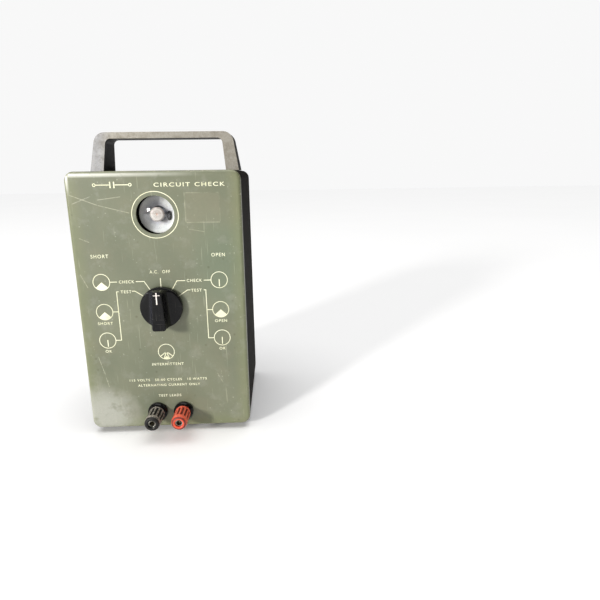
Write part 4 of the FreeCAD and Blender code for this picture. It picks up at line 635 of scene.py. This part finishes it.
def phosphor_coat():
    """Greyish-white phosphor dish: powdery, brighter to the rim, with a faint dark burn."""
    f = Finish("phosphor_coat", metallic=0.15)
    away = f.from_axis(0.0, EYE.z)
    powder = f.noise(0.5, 4.0, 0.7)
    clouds = f.mist(0.40, 0.70, 5, 3.0)
    f.colour(f.blend(f.fade(away, 6 * MM, 12 * MM), (176, 174, 182), (216, 214, 212)),
        (clouds, 0.35, (232, 226, 216)),
        (f.fade(powder, 0.35, 0.70), 0.20, (120, 118, 124)))
    f.roughness(0.40, (powder, 0.15))
    f.relief((powder, 0.02))
    return f.material


def cathode_shield():
    """Pinkish-white enamelled shield with a drawn rim and a brown dimple in the middle."""
    f = Finish("cathode_shield", 0.45)
    away = f.from_axis(0.0, EYE.z)
    ring = f.times(f.fade(away, 2.6 * MM, 3.3 * MM), f.fade(away, 4.4 * MM, 3.8 * MM))
    dimple = f.fade(away, 1.05 * MM, 0.45 * MM)
    mottle = f.noise(1.3, 4.0, 0.7)
    f.colour(f.blend(f.fade(mottle, 0.36, 0.66), (144, 133, 127), (166, 156, 149)),
        (ring, 0.50, (190, 181, 175)),
        (f.fade(away, 4.4 * MM, 5.0 * MM), 0.5, (170, 152, 148)),
        (dimple, 0.75, (156, 112, 92)))
    f.roughness(0.38, (mottle, 0.15))
    f.relief((f.times(ring, 1.0), 0.10), (f.times(dimple, -1.0), 0.25), (mottle, 0.03))
    return f.material


def electrode_nickel():
    """Grey carbonised nickel of the tube's plates and supports."""
    f = Finish("electrode_nickel", metallic=0.9)
    soot = f.noise(2.4, 4.0, 0.65)
    f.colour(f.clouded(soot, (70, 70, 74), (118, 118, 124)))
    f.roughness(0.42, (soot, 0.20))
    f.relief((f.noise(0.3, 3.0), 0.01))
    return f.material


def phenolic_board():
    """Brown paper-phenolic board with its pressed fibre."""
    f = Finish("phenolic_board", IOR=1.5)
    fibre = f.noise(0.7, 4.0, 0.7, f.spread((0.25, 1, 1), (10, 0, 30)))
    clouds = f.noise(7, 3.0)
    f.colour(f.clouded(clouds, (112, 66, 34), (134, 84, 46)),
        (f.fade(fibre, 0.45, 0.75, 0.40), (168, 116, 68)),
        (f.specks(1.3, 0.2), 0.5, (66, 38, 20)))
    f.roughness(0.42, (fibre, 0.20))
    f.relief((fibre, 0.02))
    return f.material


def stripes(f, direction, pitch, distortion=0.0):
    """Even stripes across a direction, about pitch millimetres apart."""
    wave = f.add("ShaderNodeTexWave", wave_type="BANDS", bands_direction=direction)
    f.feed(wave.inputs["Vector"], f.place)
    wave.inputs["Scale"].default_value = 0.3 / (pitch * MM) / (2 * math.pi)
    wave.inputs["Distortion"].default_value = distortion
    return wave.outputs[1]


def laminations():
    """Stacked dark varnished core sheets seen on edge, with spots of rust."""
    f = Finish("laminations", metallic=0.55)
    sheets = stripes(f, "Y", 0.62, 0.4)
    rust = f.mist(0.56, 0.70, 2.6, 5.0, 0.75)
    f.colour((48, 46, 46), (f.fade(sheets, 0.3, 0.8), 0.5, (86, 84, 82)),
        (rust, 0.65, (118, 66, 36)))
    f.roughness(0.46, (rust, 0.3))
    f.relief((sheets, 0.06), (rust, 0.05))
    return f.material


def varnished_winding():
    """Coil under amber varnish: tight turns side by side, with darker varnish runs."""
    f = Finish("varnished_winding", IOR=1.5)
    turns = stripes(f, "Z", 0.4)
    runs = f.noise(5, 4.0, 0.6, f.spread((1, 1, 0.3)))
    f.colour(f.blend(f.fade(runs, 0.38, 0.66), (150, 84, 36), (104, 52, 22)),
        (f.fade(turns, 0.5, 1.0), 0.35, (196, 124, 62)))
    f.roughness(0.24, (runs, 0.25))
    f.relief((turns, 0.08))
    return f.material


def can_metal():
    """Drawn aluminium can: brushed lengthwise, dented in a few soft places."""
    f = Finish("can_metal", metallic=1.0)
    draw = f.noise(0.4, 3.0, 0.6, f.spread((1, 1, 0.04)))
    clouds = f.mist(0.40, 0.70, 9, 3.0)
    f.colour(f.blend(clouds, (196, 196, 194), (166, 166, 164)),
        (f.specks(2.2, 0.2), 0.6, (116, 112, 104)))
    f.roughness(0.26, (draw, 0.22))
    f.relief((draw, 0.012), (f.noise(12, 2.0), 0.15))
    return f.material


def rectifier_paint():
    """Grey-green lacquer on the rectifier's plates, thin and blistered at their edges."""
    f = Finish("rectifier_paint")
    blister = f.noise(1.1, 5.0, 0.7)
    clouds = f.noise(8, 3.0)
    f.colour(f.clouded(clouds, (96, 112, 98), (122, 134, 116)),
        (f.fade(blister, 0.60, 0.68, 0.7), (164, 158, 142)))
    f.roughness(0.38, (blister, 0.25))
    f.relief((blister, 0.04))
    return f.material


def banded_body(name, body, dull, bands, leads_node):
    """Moulded or waxed bodies along Y with bands round them, and tinned leads past their ends."""
    f = Finish(name)
    low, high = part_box(leads_node)
    length = high.y - low.y
    along = f.calc("DIVIDE", f.calc("SUBTRACT", f.y, low.y), length)
    mottle = f.noise(1.4, 4.0, 0.7)
    layers = [f.clouded(mottle, body, dull)]
    for centre, half, shade in bands:
        edge = f.calc("ABSOLUTE", f.calc("SUBTRACT", along, centre))
        layers.append((f.fade(edge, half * 1.15, half * 0.9), shade))
    lead = f.most(f.fade(along, 0.17, 0.15), f.fade(along, 0.83, 0.85))
    layers.append((lead, (188, 184, 172)))
    f.colour(*layers)
    f.metal(f.times(lead, 0.95))
    f.roughness(0.36, (mottle, 0.22))
    f.relief((mottle, 0.03))
    return f.material


def wire_cloth():
    """Waxed push-back cloth on the hookup wires, with a tracer thread."""
    f = Finish("wire_cloth")
    braid = f.cells(0.42)
    tracer = f.mist(0.55, 0.60, 1.9, 1.0)
    f.colour(f.clouded(f.noise(6, 3.0), (176, 150, 74), (196, 176, 108)),
        (tracer, 0.55, (128, 44, 30)),
        (f.fade(braid, 0.3, 0.6, 0.35), (104, 84, 40)))
    f.roughness(0.55, (braid, 0.2))
    f.relief((braid, 0.06))
    return f.material


finishes = {
    "panel_paint": panel_enamel(),
    "cabinet_paint": cabinet_enamel(),
    "handle_casting": handle_finish(),
    "bakelite": bakelite(),
    "red_plastic": red_cap_plastic(),
    "nickel_plate": plated("nickel_plate_worn", (206, 202, 190), (150, 146, 134), 0.16),
    "zinc_steel": plated("zinc_steel_worn", (176, 177, 172), (134, 134, 126), 0.28, 4.5),
    "brass": plated("brass_worn", (196, 160, 92), (140, 106, 56), 0.24),
    "rubber": dusty_rubber(),
    "tube_glass": bulb_glass(),
    "electrode_metal": electrode_nickel(),
    "phosphor": phosphor_coat(),
    "phenolic_sheet": phenolic_board(),
    "core_steel": laminations(),
    "winding": varnished_winding(),
    "capacitor_can": can_metal(),
    "selenium_plates": rectifier_paint(),
    "resistor_body": banded_body(
        "resistor_brown", (116, 74, 48), (92, 56, 36),
        [(0.30, 0.03, (208, 160, 40)), (0.42, 0.03, (128, 60, 140)),
         (0.54, 0.03, (222, 112, 36)), (0.70, 0.03, (176, 172, 160))], "resistors"),
    "waxed_paper": banded_body(
        "waxed_paper_tube", (190, 164, 92), (160, 132, 66),
        [(0.24, 0.03, (52, 44, 38)), (0.76, 0.015, (150, 54, 36))], "paper_capacitors"),
    "wire_jacket": wire_cloth(),
}

for node in nodes.values():
    for place, material in enumerate(list(node.data.materials)):
        node.data.materials[place] = finishes[material.name.split(".")[0]]
nodes["eye_cathode_cap"].data.materials[0] = cathode_shield()


# ---- printed legends

INK_PROUD = 0.035                # millimetres in front of the enamel
INK_ROOT = -0.05                 # and behind its face, so that no gap shows
LINE = 0.46                      # width of the rings
LEADER = 0.52                    # and of the leader lines
RING_STEPS = 96
COLUMN = 41.0                    # pictograms stand this far to each side of the knob's axis,
ROWS = (112.0, 90.4, 69.2)       # at these heights
SIGN_RADIUS = 5.75
# text, left end, right end, base line, height of the capitals (all in millimetres) and weight
WORDS = [
    ("CIRCUIT CHECK", 0.6, 48.2, 176.7, 2.7, 0.008),
    ("SHORT", -46.4, -34.4, 129.0, 2.5, 0.004),
    ("OPEN", 36.5, 45.9, 128.7, 2.5, 0.004),
    ("A.C.  OFF", -7.1, 7.1, 117.6, 2.2, 0.006),
    ("SHORT", -COLUMN - 5.6, -COLUMN + 4.9, 81.0, 2.0, 0.008),
    ("OPEN", COLUMN - 4.5, COLUMN + 4.1, 81.0, 2.0, 0.008),
    ("INTERMITTENT", -11.0, 11.9, 49.0, 1.9, 0.010),
    ("115 VOLTS   50-60 CYCLES   10 WATTS", -28.4, 28.0, 36.9, 1.8, 0.012),
    ("ALTERNATING CURRENT ONLY", -22.6, 22.8, 32.7, 1.8, 0.012),
    ("TEST LEADS", -8.2, 8.4, 24.2, 1.9, 0.008)]


class Print:
    """Collects the printed marks of the panel as one thin solid layer."""

    def __init__(self):
        self.shell = bmesh.new()

    def solid(self, outline):
        """A flat mark with the given (x, height) outline."""
        front = [self.shell.verts.new(on_panel(x, h, INK_PROUD)) for x, h in outline]
        back = [self.shell.verts.new(on_panel(x, h, INK_ROOT)) for x, h in outline]
        self.shell.faces.new(front)
        self.shell.faces.new(back[::-1])
        for index in range(len(outline)):
            after = (index + 1) % len(outline)
            self.shell.faces.new([front[index], back[index], back[after], front[after]])

    def ring(self, x, h, radius, width=LINE, steps=RING_STEPS):
        loops = []
        for reach, proud in ((radius - width / 2, INK_ROOT), (radius - width / 2, INK_PROUD),
                             (radius + width / 2, INK_PROUD), (radius + width / 2, INK_ROOT)):
            loops.append([on_panel(x + reach * math.sin(a), h + reach * math.cos(a), proud)
                          for a in circle(steps)])
        fill(self.shell, *skin(loops, joined=True))

    def line(self, *points, width=LEADER):
        """A line through the points, mitred at its corners."""
        left, right = [], []
        for index, point in enumerate(points):
            here = Vector(point)
            before = here - Vector(points[index - 1]) if index else None
            after = Vector(points[index + 1]) - here if index + 1 < len(points) else None
            ahead = ((before or after).normalized() + (after or before).normalized()).normalized()
            side = Vector((-ahead.y, ahead.x))
            widen = width / 2 / max(0.3, ahead.dot((after or before).normalized()))
            left.append(here + side * widen)
            right.append(here - side * widen)
        self.solid(left + right[::-1])

    def wedge(self, x, h, radius, half_angle):
        """A filled slice that opens downward from the ring's centre."""
        angles = [math.radians(180 - half_angle + 2 * half_angle * step / 24) for step in range(25)]
        self.solid([(x, h)] + [(x + radius * math.sin(a), h + radius * math.cos(a)) for a in angles])

    def word(self, text, left, right, base, height, weight):
        """Capital letters that fill the given width, standing on the base line."""
        curve = bpy.data.curves.new("word", "FONT")
        curve.body = text
        curve.space_character = 1.25
        curve.offset = weight
        curve.extrude = 0.01
        source = show("word", curve)
        shown = source.evaluated_get(bpy.context.evaluated_depsgraph_get())
        mesh = bpy.data.meshes.new_from_object(shown)
        low = Vector((min(v.co[i] for v in mesh.vertices) for i in range(3)))
        high = Vector((max(v.co[i] for v in mesh.vertices) for i in range(3)))
        for vertex in mesh.vertices:
            across = (vertex.co.x - low.x) / (high.x - low.x)
            up = (vertex.co.y - low.y) / (high.y - low.y)
            proud = INK_PROUD if vertex.co.z > 0 else INK_ROOT
            vertex.co = on_panel(left + (right - left) * across, base + height * up, proud)
        self.shell.from_mesh(mesh)
        bpy.data.objects.remove(source)
        bpy.data.meshes.remove(mesh)
        bpy.data.curves.remove(curve)


def eye_pictogram(sheet, x, h, kind):
    """A small picture of the eye: a ring with an open shadow, one closed line, or a flutter."""
    sheet.ring(x, h, SIGN_RADIUS)
    if kind == "open":
        sheet.wedge(x, h, SIGN_RADIUS - 0.2, 48)
    elif kind == "shut":
        sheet.line((x, h + 0.4), (x, h - SIGN_RADIUS + 1.0), width=0.62)
    else:
        for angle in (-52, -20, 20, 52):
            turn = math.radians(180 + angle)
            sheet.line(*[(x + reach * math.sin(turn), h + reach * math.cos(turn))
                         for reach in (1.0, 5.5)], width=0.6)
        sheet.wedge(x, h - 3.2, 2.4, 42)


def printed_legends():
    """Ring round the eye, words, and the pictograms that the leader lines join to the knob."""
    sheet = Print()
    sheet.ring(0, EYE.z / MM - PANEL_BOTTOM / MM, 15.7, 0.5, 160)
    capacitor_symbol(sheet, -27, 178.3)
    for word in WORDS:
        sheet.word(*word)
    sheet.line((0, 114.2), (0, 106.0), width=0.62)
    eye_pictogram(sheet, 0, 59.5, "flutter")
    top, middle_row, low = ROWS
    for side, kinds in ((-1, ("open", "open", "shut")), (1, ("shut", "open", "shut"))):
        for h, kind in zip(ROWS, kinds):
            eye_pictogram(sheet, side * COLUMN, h, kind)
        for text, inner, outer, base in (("CHECK", 18.3, 28.9, top - 1.05), ("TEST", 20.9, 28.4, 103.8)):
            sheet.word(text, *sorted((side * inner, side * outer)), base, 2.1, 0.008)
        sheet.word("OK", side * COLUMN - 2.4, side * COLUMN + 2.2, 60.0, 2.0, 0.008)
        edge = COLUMN - SIGN_RADIUS - 0.15
        for leader in (((edge, top), (30.2, top)),
                       ((17.2, top), (11.4, top), (6.6, 104.0)),
                       ((20.4, 105.2), (18.4, 105.2), (12.4, 101.2)),
                       ((29.8, 105.0), (31.2, 105.0), (31.2, low), (edge, low)),
                       ((31.4, middle_row), (edge, middle_row))):
            sheet.line(*[(side * x, h) for x, h in leader])
    bmesh.ops.remove_doubles(sheet.shell, verts=sheet.shell.verts, dist=1e-6)
    bmesh.ops.recalc_face_normals(sheet.shell, faces=sheet.shell.faces)
    finish_piece("printed_legends", sheet.shell, print_ink())


def capacitor_symbol(sheet, x, h):
    """The circuit symbol of a capacitor, between two leads that end in dots."""
    for side in (-1, 1):
        sheet.line((x + side * 1.3, h - 2.1), (x + side * 1.3, h + 2.1), width=0.8)
        sheet.line((x + side * 1.3, h), (x + side * 11.0, h), width=0.6)
        sheet.ring(x + side * 11.9, h, 0.9, 0.5, 32)


printed_legends()


# ---- selector knob

KNOB_HEIGHT = 16.0        # millimetres, from the panel's face to the bar's crest
CREST_BEVEL = 0.45
SKIRT_TOP = 5.3
SKIRT_RADIUS = 14.8
SHOULDER_WIDTH = 0.9      # from the skirt's edge in to where its shoulder starts to turn
BAR_HALF = 13.4
POINT_HALF = 2.7
TAIL_HALF = 4.3
FLARE_SIDE = 5.4          # how far the bar's flanks sweep out as they go down
FLARE_END = 1.4
OUTLINE_STEP = 0.8
# the skirt, from its shoulder round its foot and up the recess and the bore: (radius, height)
SKIRT_PROFILE = [
    (14.0, 5.24), (14.35, 5.12), (14.62, 4.88), (14.76, 4.56), (14.8, 4.2), (14.8, 1.3),
    (14.68, 1.02), (14.4, 0.9), (9.3, 0.9), (9.0, 1.1), (9.0, 3.6), (8.6, 4.0), (3.5, 4.0),
    (3.22, 4.3), (3.22, 13.8)]
# painted marks on the bar: half width, low and high end, rounding there, draw-in and rise of crown
POINTER_MARKS = {
    "pointer_line": (0.40, 5.2, BAR_HALF + 0.1, 0.3, 0.1, 0.06, 0.10, 0.14),
    # the short white bar across the pointer near its end is a painted glint of the end's bevel
    "pointer_cross_glint": (2.35, 11.35, 11.75, 0.2, 0.2, 0.02, 0.09, 0.12)}


def spaced(outline, gap):
    """The closed outline with extra points, so that no step is longer than gap."""
    points = []
    for index, here in enumerate(outline):
        after = outline[(index + 1) % len(outline)]
        pieces = max(1, math.ceil((after - here).length / gap))
        points += [here.lerp(after, step / pieces) for step in range(pieces)]
    return points


def outward(outline):
    """Unit normals that point out of a closed outline that runs clockwise."""
    normals = []
    for index in range(len(outline)):
        along = (outline[(index + 1) % len(outline)] - outline[index - 1]).normalized()
        normals.append(Vector((-along.y, along.x)))
    return normals


def knob_loop(points, proud):
    """Row-frame loop through points (right, up) of the shaft's axis, proud millimetres off the panel."""
    return [Vector((SHAFT.x + u * MM, PANEL_FRONT - proud * MM, SHAFT.z + v * MM)) for u, v in points]


def bar_knob():
    """Moulded knob: a bar whose sides sweep down in a hollow curve to a round skirt."""
    crest = spaced(softened([
        (-TAIL_HALF, -BAR_HALF, 1.5), (-POINT_HALF, BAR_HALF, 0.9), (POINT_HALF, BAR_HALF, 0.9),
        (TAIL_HALF, -BAR_HALF, 1.5)], 6, closed=True), OUTLINE_STEP)
    away = outward(crest)
    limit = SKIRT_RADIUS - SHOULDER_WIDTH

    def held(point):
        return point * min(1.0, limit / point.length)

    loops = [knob_loop([p * share for p in crest], KNOB_HEIGHT + 0.12 * (1 - share ** 2))
             for share in (0.25, 0.5, 0.75, 0.92)]
    for step in range(5):
        turn = math.radians(90 * step / 4)
        push = CREST_BEVEL * math.sin(turn)
        loops.append(knob_loop([p + n * push for p, n in zip(crest, away)],
                               KNOB_HEIGHT - CREST_BEVEL * (1 - math.cos(turn))))
    shoulder = KNOB_HEIGHT - CREST_BEVEL
    foot = []
    for step in range(1, 15):
        turn = math.radians(90 * step / 14)
        spread = 1 - math.cos(turn)
        foot = [held(p + Vector((n.x * (CREST_BEVEL + FLARE_SIDE * spread),
                                 n.y * (CREST_BEVEL + FLARE_END * spread))))
                for p, n in zip(crest, away)]
        loops.append(knob_loop(foot, shoulder - (shoulder - SKIRT_TOP) * math.sin(turn)))
    rays = [p.normalized() for p in foot]
    for radius, proud in SKIRT_PROFILE:
        loops.append(knob_loop([ray * radius for ray in rays], proud))
    knob = add_piece("bar_knob", *skin(loops), finishes["bakelite"], "selector")
    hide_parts("knob")


def pointer_marks():
    """White line let into the bar from its pointed end toward the middle, and a short white bar across
    it that paints the glint of the end's bevel.
    """
    paint = pointer_paint()
    for name, (half, low, high, low_round, high_round, draw_in, edge, crown) in POINTER_MARKS.items():
        outline = spaced(softened([(-half, low, low_round), (-half, high, high_round),
                                   (half, high, high_round), (half, low, low_round)],
                                  4, closed=True), OUTLINE_STEP)
        narrow = [Vector((u * (1 - draw_in), v)) for u, v in outline]
        loops = [knob_loop(outline, KNOB_HEIGHT - 0.3), knob_loop(outline, KNOB_HEIGHT + edge),
                 knob_loop(narrow, KNOB_HEIGHT + crown)]
        add_piece(name, *skin(loops), paint, "selector")


bar_knob()
pointer_marks()


# ---- post caps

RIBS = 12
CAP_RADIUS = 5.6
GROOVE_DEPTH = 0.78
GROOVE_SHARE = 0.56       # share of each rib's pitch that the groove takes
GROOVE_START = 4.0        # behind the nose
GROOVE_END = 1.5          # in front of the back rim
GROOVE_RAMP = 0.45        # length over which a groove's ends run out
STEPS_PER_RIB = 18
CAP_BORE = 3.06
# nose of the cap, from the grip round into its mouth: (radius, distance behind the nose's face)
NOSE_PROFILE = [
    (5.58, 3.0), (5.5, 2.0), (5.32, 1.3), (5.0, 0.75), (4.6, 0.34), (4.1, 0.1), (3.6, 0.0),
    (3.1, 0.06), (2.78, 0.28), (2.62, 0.62), (2.6, 1.1), (CAP_BORE, 1.12)]


def groove(angle):
    """Depth of the flutes at an angle round the cap, from 0 on a rib to 1 in a groove."""
    phase = (angle * RIBS / (2 * math.pi)) % 1.0
    off = abs(phase - 0.5) / (GROOVE_SHARE / 2)
    if off >= 1.25:
        return 0.0
    if off <= 0.75:
        return 1.0 - 0.12 * (off / 0.75) ** 2
    return 0.88 * (0.5 + 0.5 * math.cos(math.pi * (off - 0.75) / 0.5))


def fluted_cap(colour, x, material):
    """Moulded cap: fluted grip, plain ring round the nose, mouth for a plug, bored for the stud."""
    low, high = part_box(colour + "_post_cap")
    back, front = high.y, low.y
    length = (back - front) / MM

    def depth_at(behind_front):
        rise = (behind_front - GROOVE_START) / GROOVE_RAMP
        fall = (length - GROOVE_END - behind_front) / GROOVE_RAMP
        return min(max(rise, 0.0), max(fall, 0.0), 1.0)

    profile = [(radius, length - gap) for radius, gap in (
        (CAP_BORE, 0.02), (5.2, 0.02), (5.45, 0.14), (5.58, 0.4), (CAP_RADIUS, 1.0), (CAP_RADIUS, 1.45),
        (CAP_RADIUS, 1.6), (CAP_RADIUS, 1.75), (CAP_RADIUS, 2.0), (CAP_RADIUS, 3.2))]
    for step in range(7):
        profile.append((CAP_RADIUS - 0.06, length - 4.2 - step * (length - 9.6) / 6))
    for behind in (4.9, 4.6, 4.45, 4.3, 4.15, 4.0):
        profile.append((CAP_RADIUS, behind))
    profile += NOSE_PROFILE
    steps = RIBS * STEPS_PER_RIB
    loops = []
    for radius, behind in profile:
        ring = []
        for step in range(steps):
            angle = 2 * math.pi * step / steps
            deep = GROOVE_DEPTH * groove(angle) * depth_at(behind) if radius > 5.4 else 0.0
            reach = (radius - deep) * MM
            ring.append(Vector((x + reach * math.sin(angle), front + behind * MM,
                                POST_Z + reach * math.cos(angle))))
        loops.append(ring)
    cap = add_piece(colour + "_fluted_cap", *skin(loops, joined=True), material, colour + "_cap")
    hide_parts(colour + "_post_cap")


fluted_cap("black", -POST_X, black_cap_plastic())
fluted_cap("red", POST_X, finishes["red_plastic"])


# ---- indicator tube

BULB_RADIUS = 14.3
BULB_WALL = 0.8
DOME_DEPTH = 8.6
BASE_CUP = 12.0           # length of the bulb's back end that stands in the base
NECK_STEP = 1.6           # how much smaller the glass is in there
SIDE_RINGS = (20.0, 32.0)
VANE_RIGHT = 7.6          # the vane's middle, from the tube's axis
VANE_DOWN = 1.2
VANE_HALF_WIDTH = 1.5
VANE_HALF_HEIGHT = 3.3
VANE_LOOPS = [(0.75, 1.2), (0.95, 1.0), (1.0, 1.35), (1.0, 4.2)]     # (share of size, distance back)


def bulb():
    """Blown glass envelope: a domed face, a straight side and a stepped neck inside the base."""
    low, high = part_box("eye_tube_glass")
    length = (high.y - low.y) / MM

    def dome(radius, depth, start):
        points = []
        for step in range(15):
            turn = math.radians(90 * step / 14)
            points.append((max(radius * math.sin(turn), 0.02), start + depth * (1 - math.cos(turn))))
        return points

    neck = BULB_RADIUS - NECK_STEP
    bore = BULB_RADIUS - BULB_WALL
    outer = dome(BULB_RADIUS, DOME_DEPTH, 0.0)
    outer += [(BULB_RADIUS, behind) for behind in (*SIDE_RINGS, length - BASE_CUP)]
    outer += [(BULB_RADIUS - 0.5, length - 11.2), (neck, length - 10.2), (neck, length)]
    inner = [(neck - 0.9, length), (neck - 0.9, length - 9.8), (neck, length - 11.4)]
    inner += [(bore, behind) for behind in (length - BASE_CUP - 0.4, *SIDE_RINGS[::-1])]
    inner += dome(bore, DOME_DEPTH, BULB_WALL)[::-1]
    profile = [(radius * MM, low.y + behind * MM) for radius, behind in outer + inner]
    loops = turned(profile, EYE.x, EYE.z, 128)
    glass = add_piece("eye_bulb", *skin(loops), finishes["tube_glass"], crease=60)
    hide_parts("eye_tube_glass")


def shadow_vane():
    """Small dark ray-control vane that stands beside the cathode in the dish."""
    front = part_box("eye_target")[0].y
    loops = []
    for share, behind in VANE_LOOPS:
        loops.append([Vector((EYE.x + (VANE_RIGHT + VANE_HALF_WIDTH * share * math.sin(a)) * MM,
                              front + behind * MM,
                              EYE.z + (VANE_HALF_HEIGHT * share * math.cos(a) - VANE_DOWN) * MM))
                      for a in circle(40)])
    vane = add_piece("ray_control_vane", *skin(loops), dark_vane())


def dark_vane():
    """Sooty electrode that reads as a dark spot behind the glass."""
    f = Finish("vane_soot", gloss=0.15)
    soot = f.noise(0.8, 4.0, 0.65)
    f.colour(f.clouded(soot, (20, 18, 21), (38, 36, 40)))
    f.roughness(0.60, (soot, 0.2))
    f.relief((soot, 0.02))
    return f.material


bulb()
shadow_vane()


# ---- stage, light and camera

KEY_POWER = 54.0                  # watts
KEY_SIZE = 0.38                   # metres across
KEY_DISTANCE = 2.4
KEY_WAY = (-0.80, -1.0, 0.36)     # from the panel's middle towards the lamp
KEY_COLOUR = (1.0, 0.985, 0.96)
ABOVE_POWER = 2.6
ABOVE_SPREAD = 70                 # degrees
SKY_STRENGTH = 0.10               # what the sky gives as light,
BACKDROP_STRENGTH = 0.94          # and how bright it looks behind the object
FLOOR_REACH = 6.0                 # metres from the object


def studio_floor():
    """Pale flat floor."""
    f = Finish("studio_paper", 0.85, gloss=0.0)
    f.colour(f.blend(f.noise(400, 2.0), (254, 254, 254), (251, 251, 251)))
    mesh = bpy.data.meshes.new("studio_floor")
    corners = [(FLOOR_REACH * u, FLOOR_REACH * v, 0) for u, v in ((-1, -1), (1, -1), (1, 1), (-1, 1))]
    mesh.from_pydata(corners, [], [(0, 1, 2, 3)])
    mesh.materials.append(f.material)
    show("studio_floor", mesh)


def studio_light():
    """A soft lamp from the upper left, even light from above, and a pale sky."""
    aim = Vector((0.0, PANEL_FRONT, (PANEL_BOTTOM + PANEL_TOP) / 2))
    way = Vector(KEY_WAY).normalized()
    key = bpy.data.lights.new("key_lamp", "AREA")
    key.shape = "DISK"
    key.size = KEY_SIZE
    key.energy = KEY_POWER
    key.color = KEY_COLOUR
    lamp = show("key_lamp", key)
    lamp.location = aim + way * KEY_DISTANCE
    lamp.rotation_euler = (-way).to_track_quat("-Z", "Y").to_euler()
    above = bpy.data.lights.new("sky_panel", "SUN")
    above.energy = ABOVE_POWER
    above.angle = math.radians(ABOVE_SPREAD)
    show("sky_panel", above)
    world = bpy.data.worlds.new("studio_air")
    world.use_nodes = True
    tree = world.node_tree
    seen = tree.nodes.new("ShaderNodeLightPath").outputs["Is Camera Ray"]
    strength = tree.nodes.new("ShaderNodeMapRange")
    tree.links.new(seen, strength.inputs["Value"])
    strength.inputs["To Min"].default_value = SKY_STRENGTH
    strength.inputs["To Max"].default_value = BACKDROP_STRENGTH
    backdrop = tree.nodes["Background"]
    backdrop.inputs["Color"].default_value = (1.0, 1.0, 1.0, 1.0)
    tree.links.new(strength.outputs[0], backdrop.inputs["Strength"])
    bpy.context.scene.world = world


# where the camera stands and how it is turned, in millimetres and degrees
CAMERA_PLACE = (83.04, -397.84, 187.64)
CAMERA_YAW = 2.4386
CAMERA_DOWN = 14.048
CAMERA_ROLL = -0.7927
CAMERA_LENS = 30.18


def studio_camera():
    yaw, down, roll = (math.radians(angle) for angle in (CAMERA_YAW, CAMERA_DOWN, CAMERA_ROLL))
    ahead = Vector((math.sin(yaw) * math.cos(down), math.cos(yaw) * math.cos(down), -math.sin(down)))
    level = ahead.cross(Vector((0, 0, 1))).normalized()
    above = level.cross(ahead)
    right = level * math.cos(roll) + above * math.sin(roll)
    up = above * math.cos(roll) - level * math.sin(roll)
    data = bpy.data.cameras.new("studio_camera")
    data.lens = CAMERA_LENS
    data.sensor_width = 36.0
    data.clip_start = 0.01
    data.clip_end = 50.0
    camera = show("studio_camera", data)
    turn = Matrix((right, up, -ahead)).transposed().to_4x4()
    camera.matrix_world = Matrix.Translation(Vector(CAMERA_PLACE) * MM) @ turn
    bpy.context.scene.camera = camera


studio_floor()
studio_light()
studio_camera()
bpy.context.scene.view_settings.view_transform = "Standard"

# ---- update the scene
bpy.context.view_layer.update()
